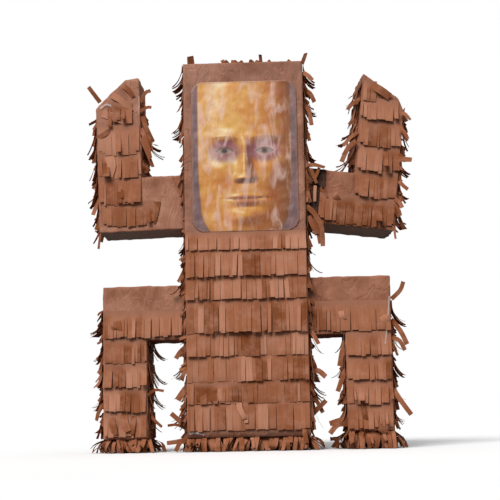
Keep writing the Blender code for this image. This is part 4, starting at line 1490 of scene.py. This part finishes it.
class PINATA_OT_stage(Operator):
    """Pale floor, soft studio light and the camera"""

    bl_idname = "pinata.stage"
    bl_label = "Stage, light and camera"

    def execute(self, context):
        stage = context.scene.pinata_stage
        scene = context.scene
        scene.view_settings.view_transform = "Standard"
        self.floor(context)
        self.world(scene, stage)
        self.lamp("key_light", (-0.9, -2.2, 2.0), stage.key_power)
        camera = bpy.data.objects.new("camera", bpy.data.cameras.new("camera"))
        scene.collection.objects.link(camera)
        turn, lift, roll = math.radians(2.0), math.radians(7.0), math.radians(-1.1)
        camera.location = (math.sin(turn) * stage.distance + 0.0041, -math.cos(turn) * stage.distance,
                           stage.camera_height)
        toward = Vector((-math.sin(turn) * math.cos(lift), math.cos(turn) * math.cos(lift), math.sin(lift)))
        camera.rotation_mode = "QUATERNION"
        camera.rotation_quaternion = toward.to_track_quat("-Z", "Y") @ Matrix.Rotation(roll, 3, "Z").to_quaternion()
        camera.data.sensor_width = 36
        camera.data.lens = 86.7
        camera.data.shift_y = 0.042
        camera.data.clip_start, camera.data.clip_end = 0.01, 50
        scene.camera = camera
        return {"FINISHED"}

    def floor(self, context):
        bm = bmesh.new()
        bmesh.ops.create_grid(bm, x_segments=2, y_segments=2, size=12)
        mesh = bpy.data.meshes.new("floor")
        bm.to_mesh(mesh)
        bm.free()
        made, tree, shader = new_material("floor_white")
        where = object_place(tree)
        cloud = texture(tree, "ShaderNodeTexNoise", where, 1.5, Scale=1, Detail=2)
        seen = ramp(tree, cloud.outputs["Fac"], ((0.3, grey(0.97)), (0.7, grey(1.0))))
        path = node(tree, "ShaderNodeLightPath").outputs["Is Camera Ray"]
        tree.links.new(mixed(tree, "MIX", path, tone(92, 88, 86), seen), shader.inputs["Base Color"])
        shader.inputs["Roughness"].default_value = 1.0
        shader.inputs["Specular IOR Level"].default_value = 0.0
        mesh.materials.append(made)
        ob = bpy.data.objects.new("floor", mesh)
        context.scene.collection.objects.link(ob)

    def world(self, scene, stage):
        world = bpy.data.worlds.new("studio")
        scene.world = world
        world.use_nodes = True
        tree = world.node_tree
        background = tree.nodes["Background"]
        background.inputs["Color"].default_value = (1, 1, 1, 1)
        path = node(tree, "ShaderNodeLightPath")
        level = node(tree, "ShaderNodeMix", data_type="FLOAT")
        level.inputs[2].default_value = stage.world_level
        level.inputs[3].default_value = 1.0
        tree.links.new(path.outputs["Is Camera Ray"], level.inputs[0])
        tree.links.new(level.outputs[0], background.inputs["Strength"])

    def lamp(self, name, place, strength):
        data = bpy.data.lights.new(name, "SUN")
        data.angle = math.radians(28)
        data.energy = strength
        ob = bpy.data.objects.new(name, data)
        bpy.context.scene.collection.objects.link(ob)
        ob.location = place
        ob.rotation_mode = "QUATERNION"
        ob.rotation_quaternion = (-Vector(place)).to_track_quat("-Z", "Y")


OPERATORS = (PINATA_OT_materials, PINATA_OT_stage, PINATA_OT_body_wrap, PINATA_OT_torso_fringe, PINATA_OT_head_paper,
             PINATA_OT_flap_paper, PINATA_OT_limb_paper, PINATA_OT_bottom_tufts, PINATA_OT_edge_shag,
             PINATA_OT_stray_strips, PINATA_OT_clear_tapes, PINATA_OT_print_sheet)


class PINATA_PT_sidebar(Panel):
    bl_label = "Pinata"
    bl_idname = "PINATA_PT_sidebar"
    bl_space_type = "VIEW_3D"
    bl_region_type = "UI"
    bl_category = "Pinata"

    def draw(self, context):
        for settings in (context.scene.pinata_paper, context.scene.pinata_print, context.scene.pinata_stage):
            box = self.layout.box()
            for key in settings.bl_rna.properties.keys():
                if key not in ("rna_type", "name"):
                    box.prop(settings, key)
        for operator in OPERATORS:
            self.layout.operator(operator.bl_idname)


CLASSES = (PinataPaperSettings, PinataPrintSettings, PinataStageSettings, *OPERATORS, PINATA_PT_sidebar)


def register():
    for cls in CLASSES:
        bpy.utils.register_class(cls)
    bpy.types.Scene.pinata_paper = PointerProperty(type=PinataPaperSettings)
    bpy.types.Scene.pinata_print = PointerProperty(type=PinataPrintSettings)
    bpy.types.Scene.pinata_stage = PointerProperty(type=PinataStageSettings)


def unregister():
    del bpy.types.Scene.pinata_paper, bpy.types.Scene.pinata_print, bpy.types.Scene.pinata_stage
    for cls in reversed(CLASSES):
        bpy.utils.unregister_class(cls)


def main():
    register()
    for operator in OPERATORS:
        group, name = operator.bl_idname.split(".")
        if getattr(getattr(bpy.ops, group), name)() != {"FINISHED"}:
            raise RuntimeError(f"{operator.bl_label} did not finish")


if __name__ == "__main__":
    main()
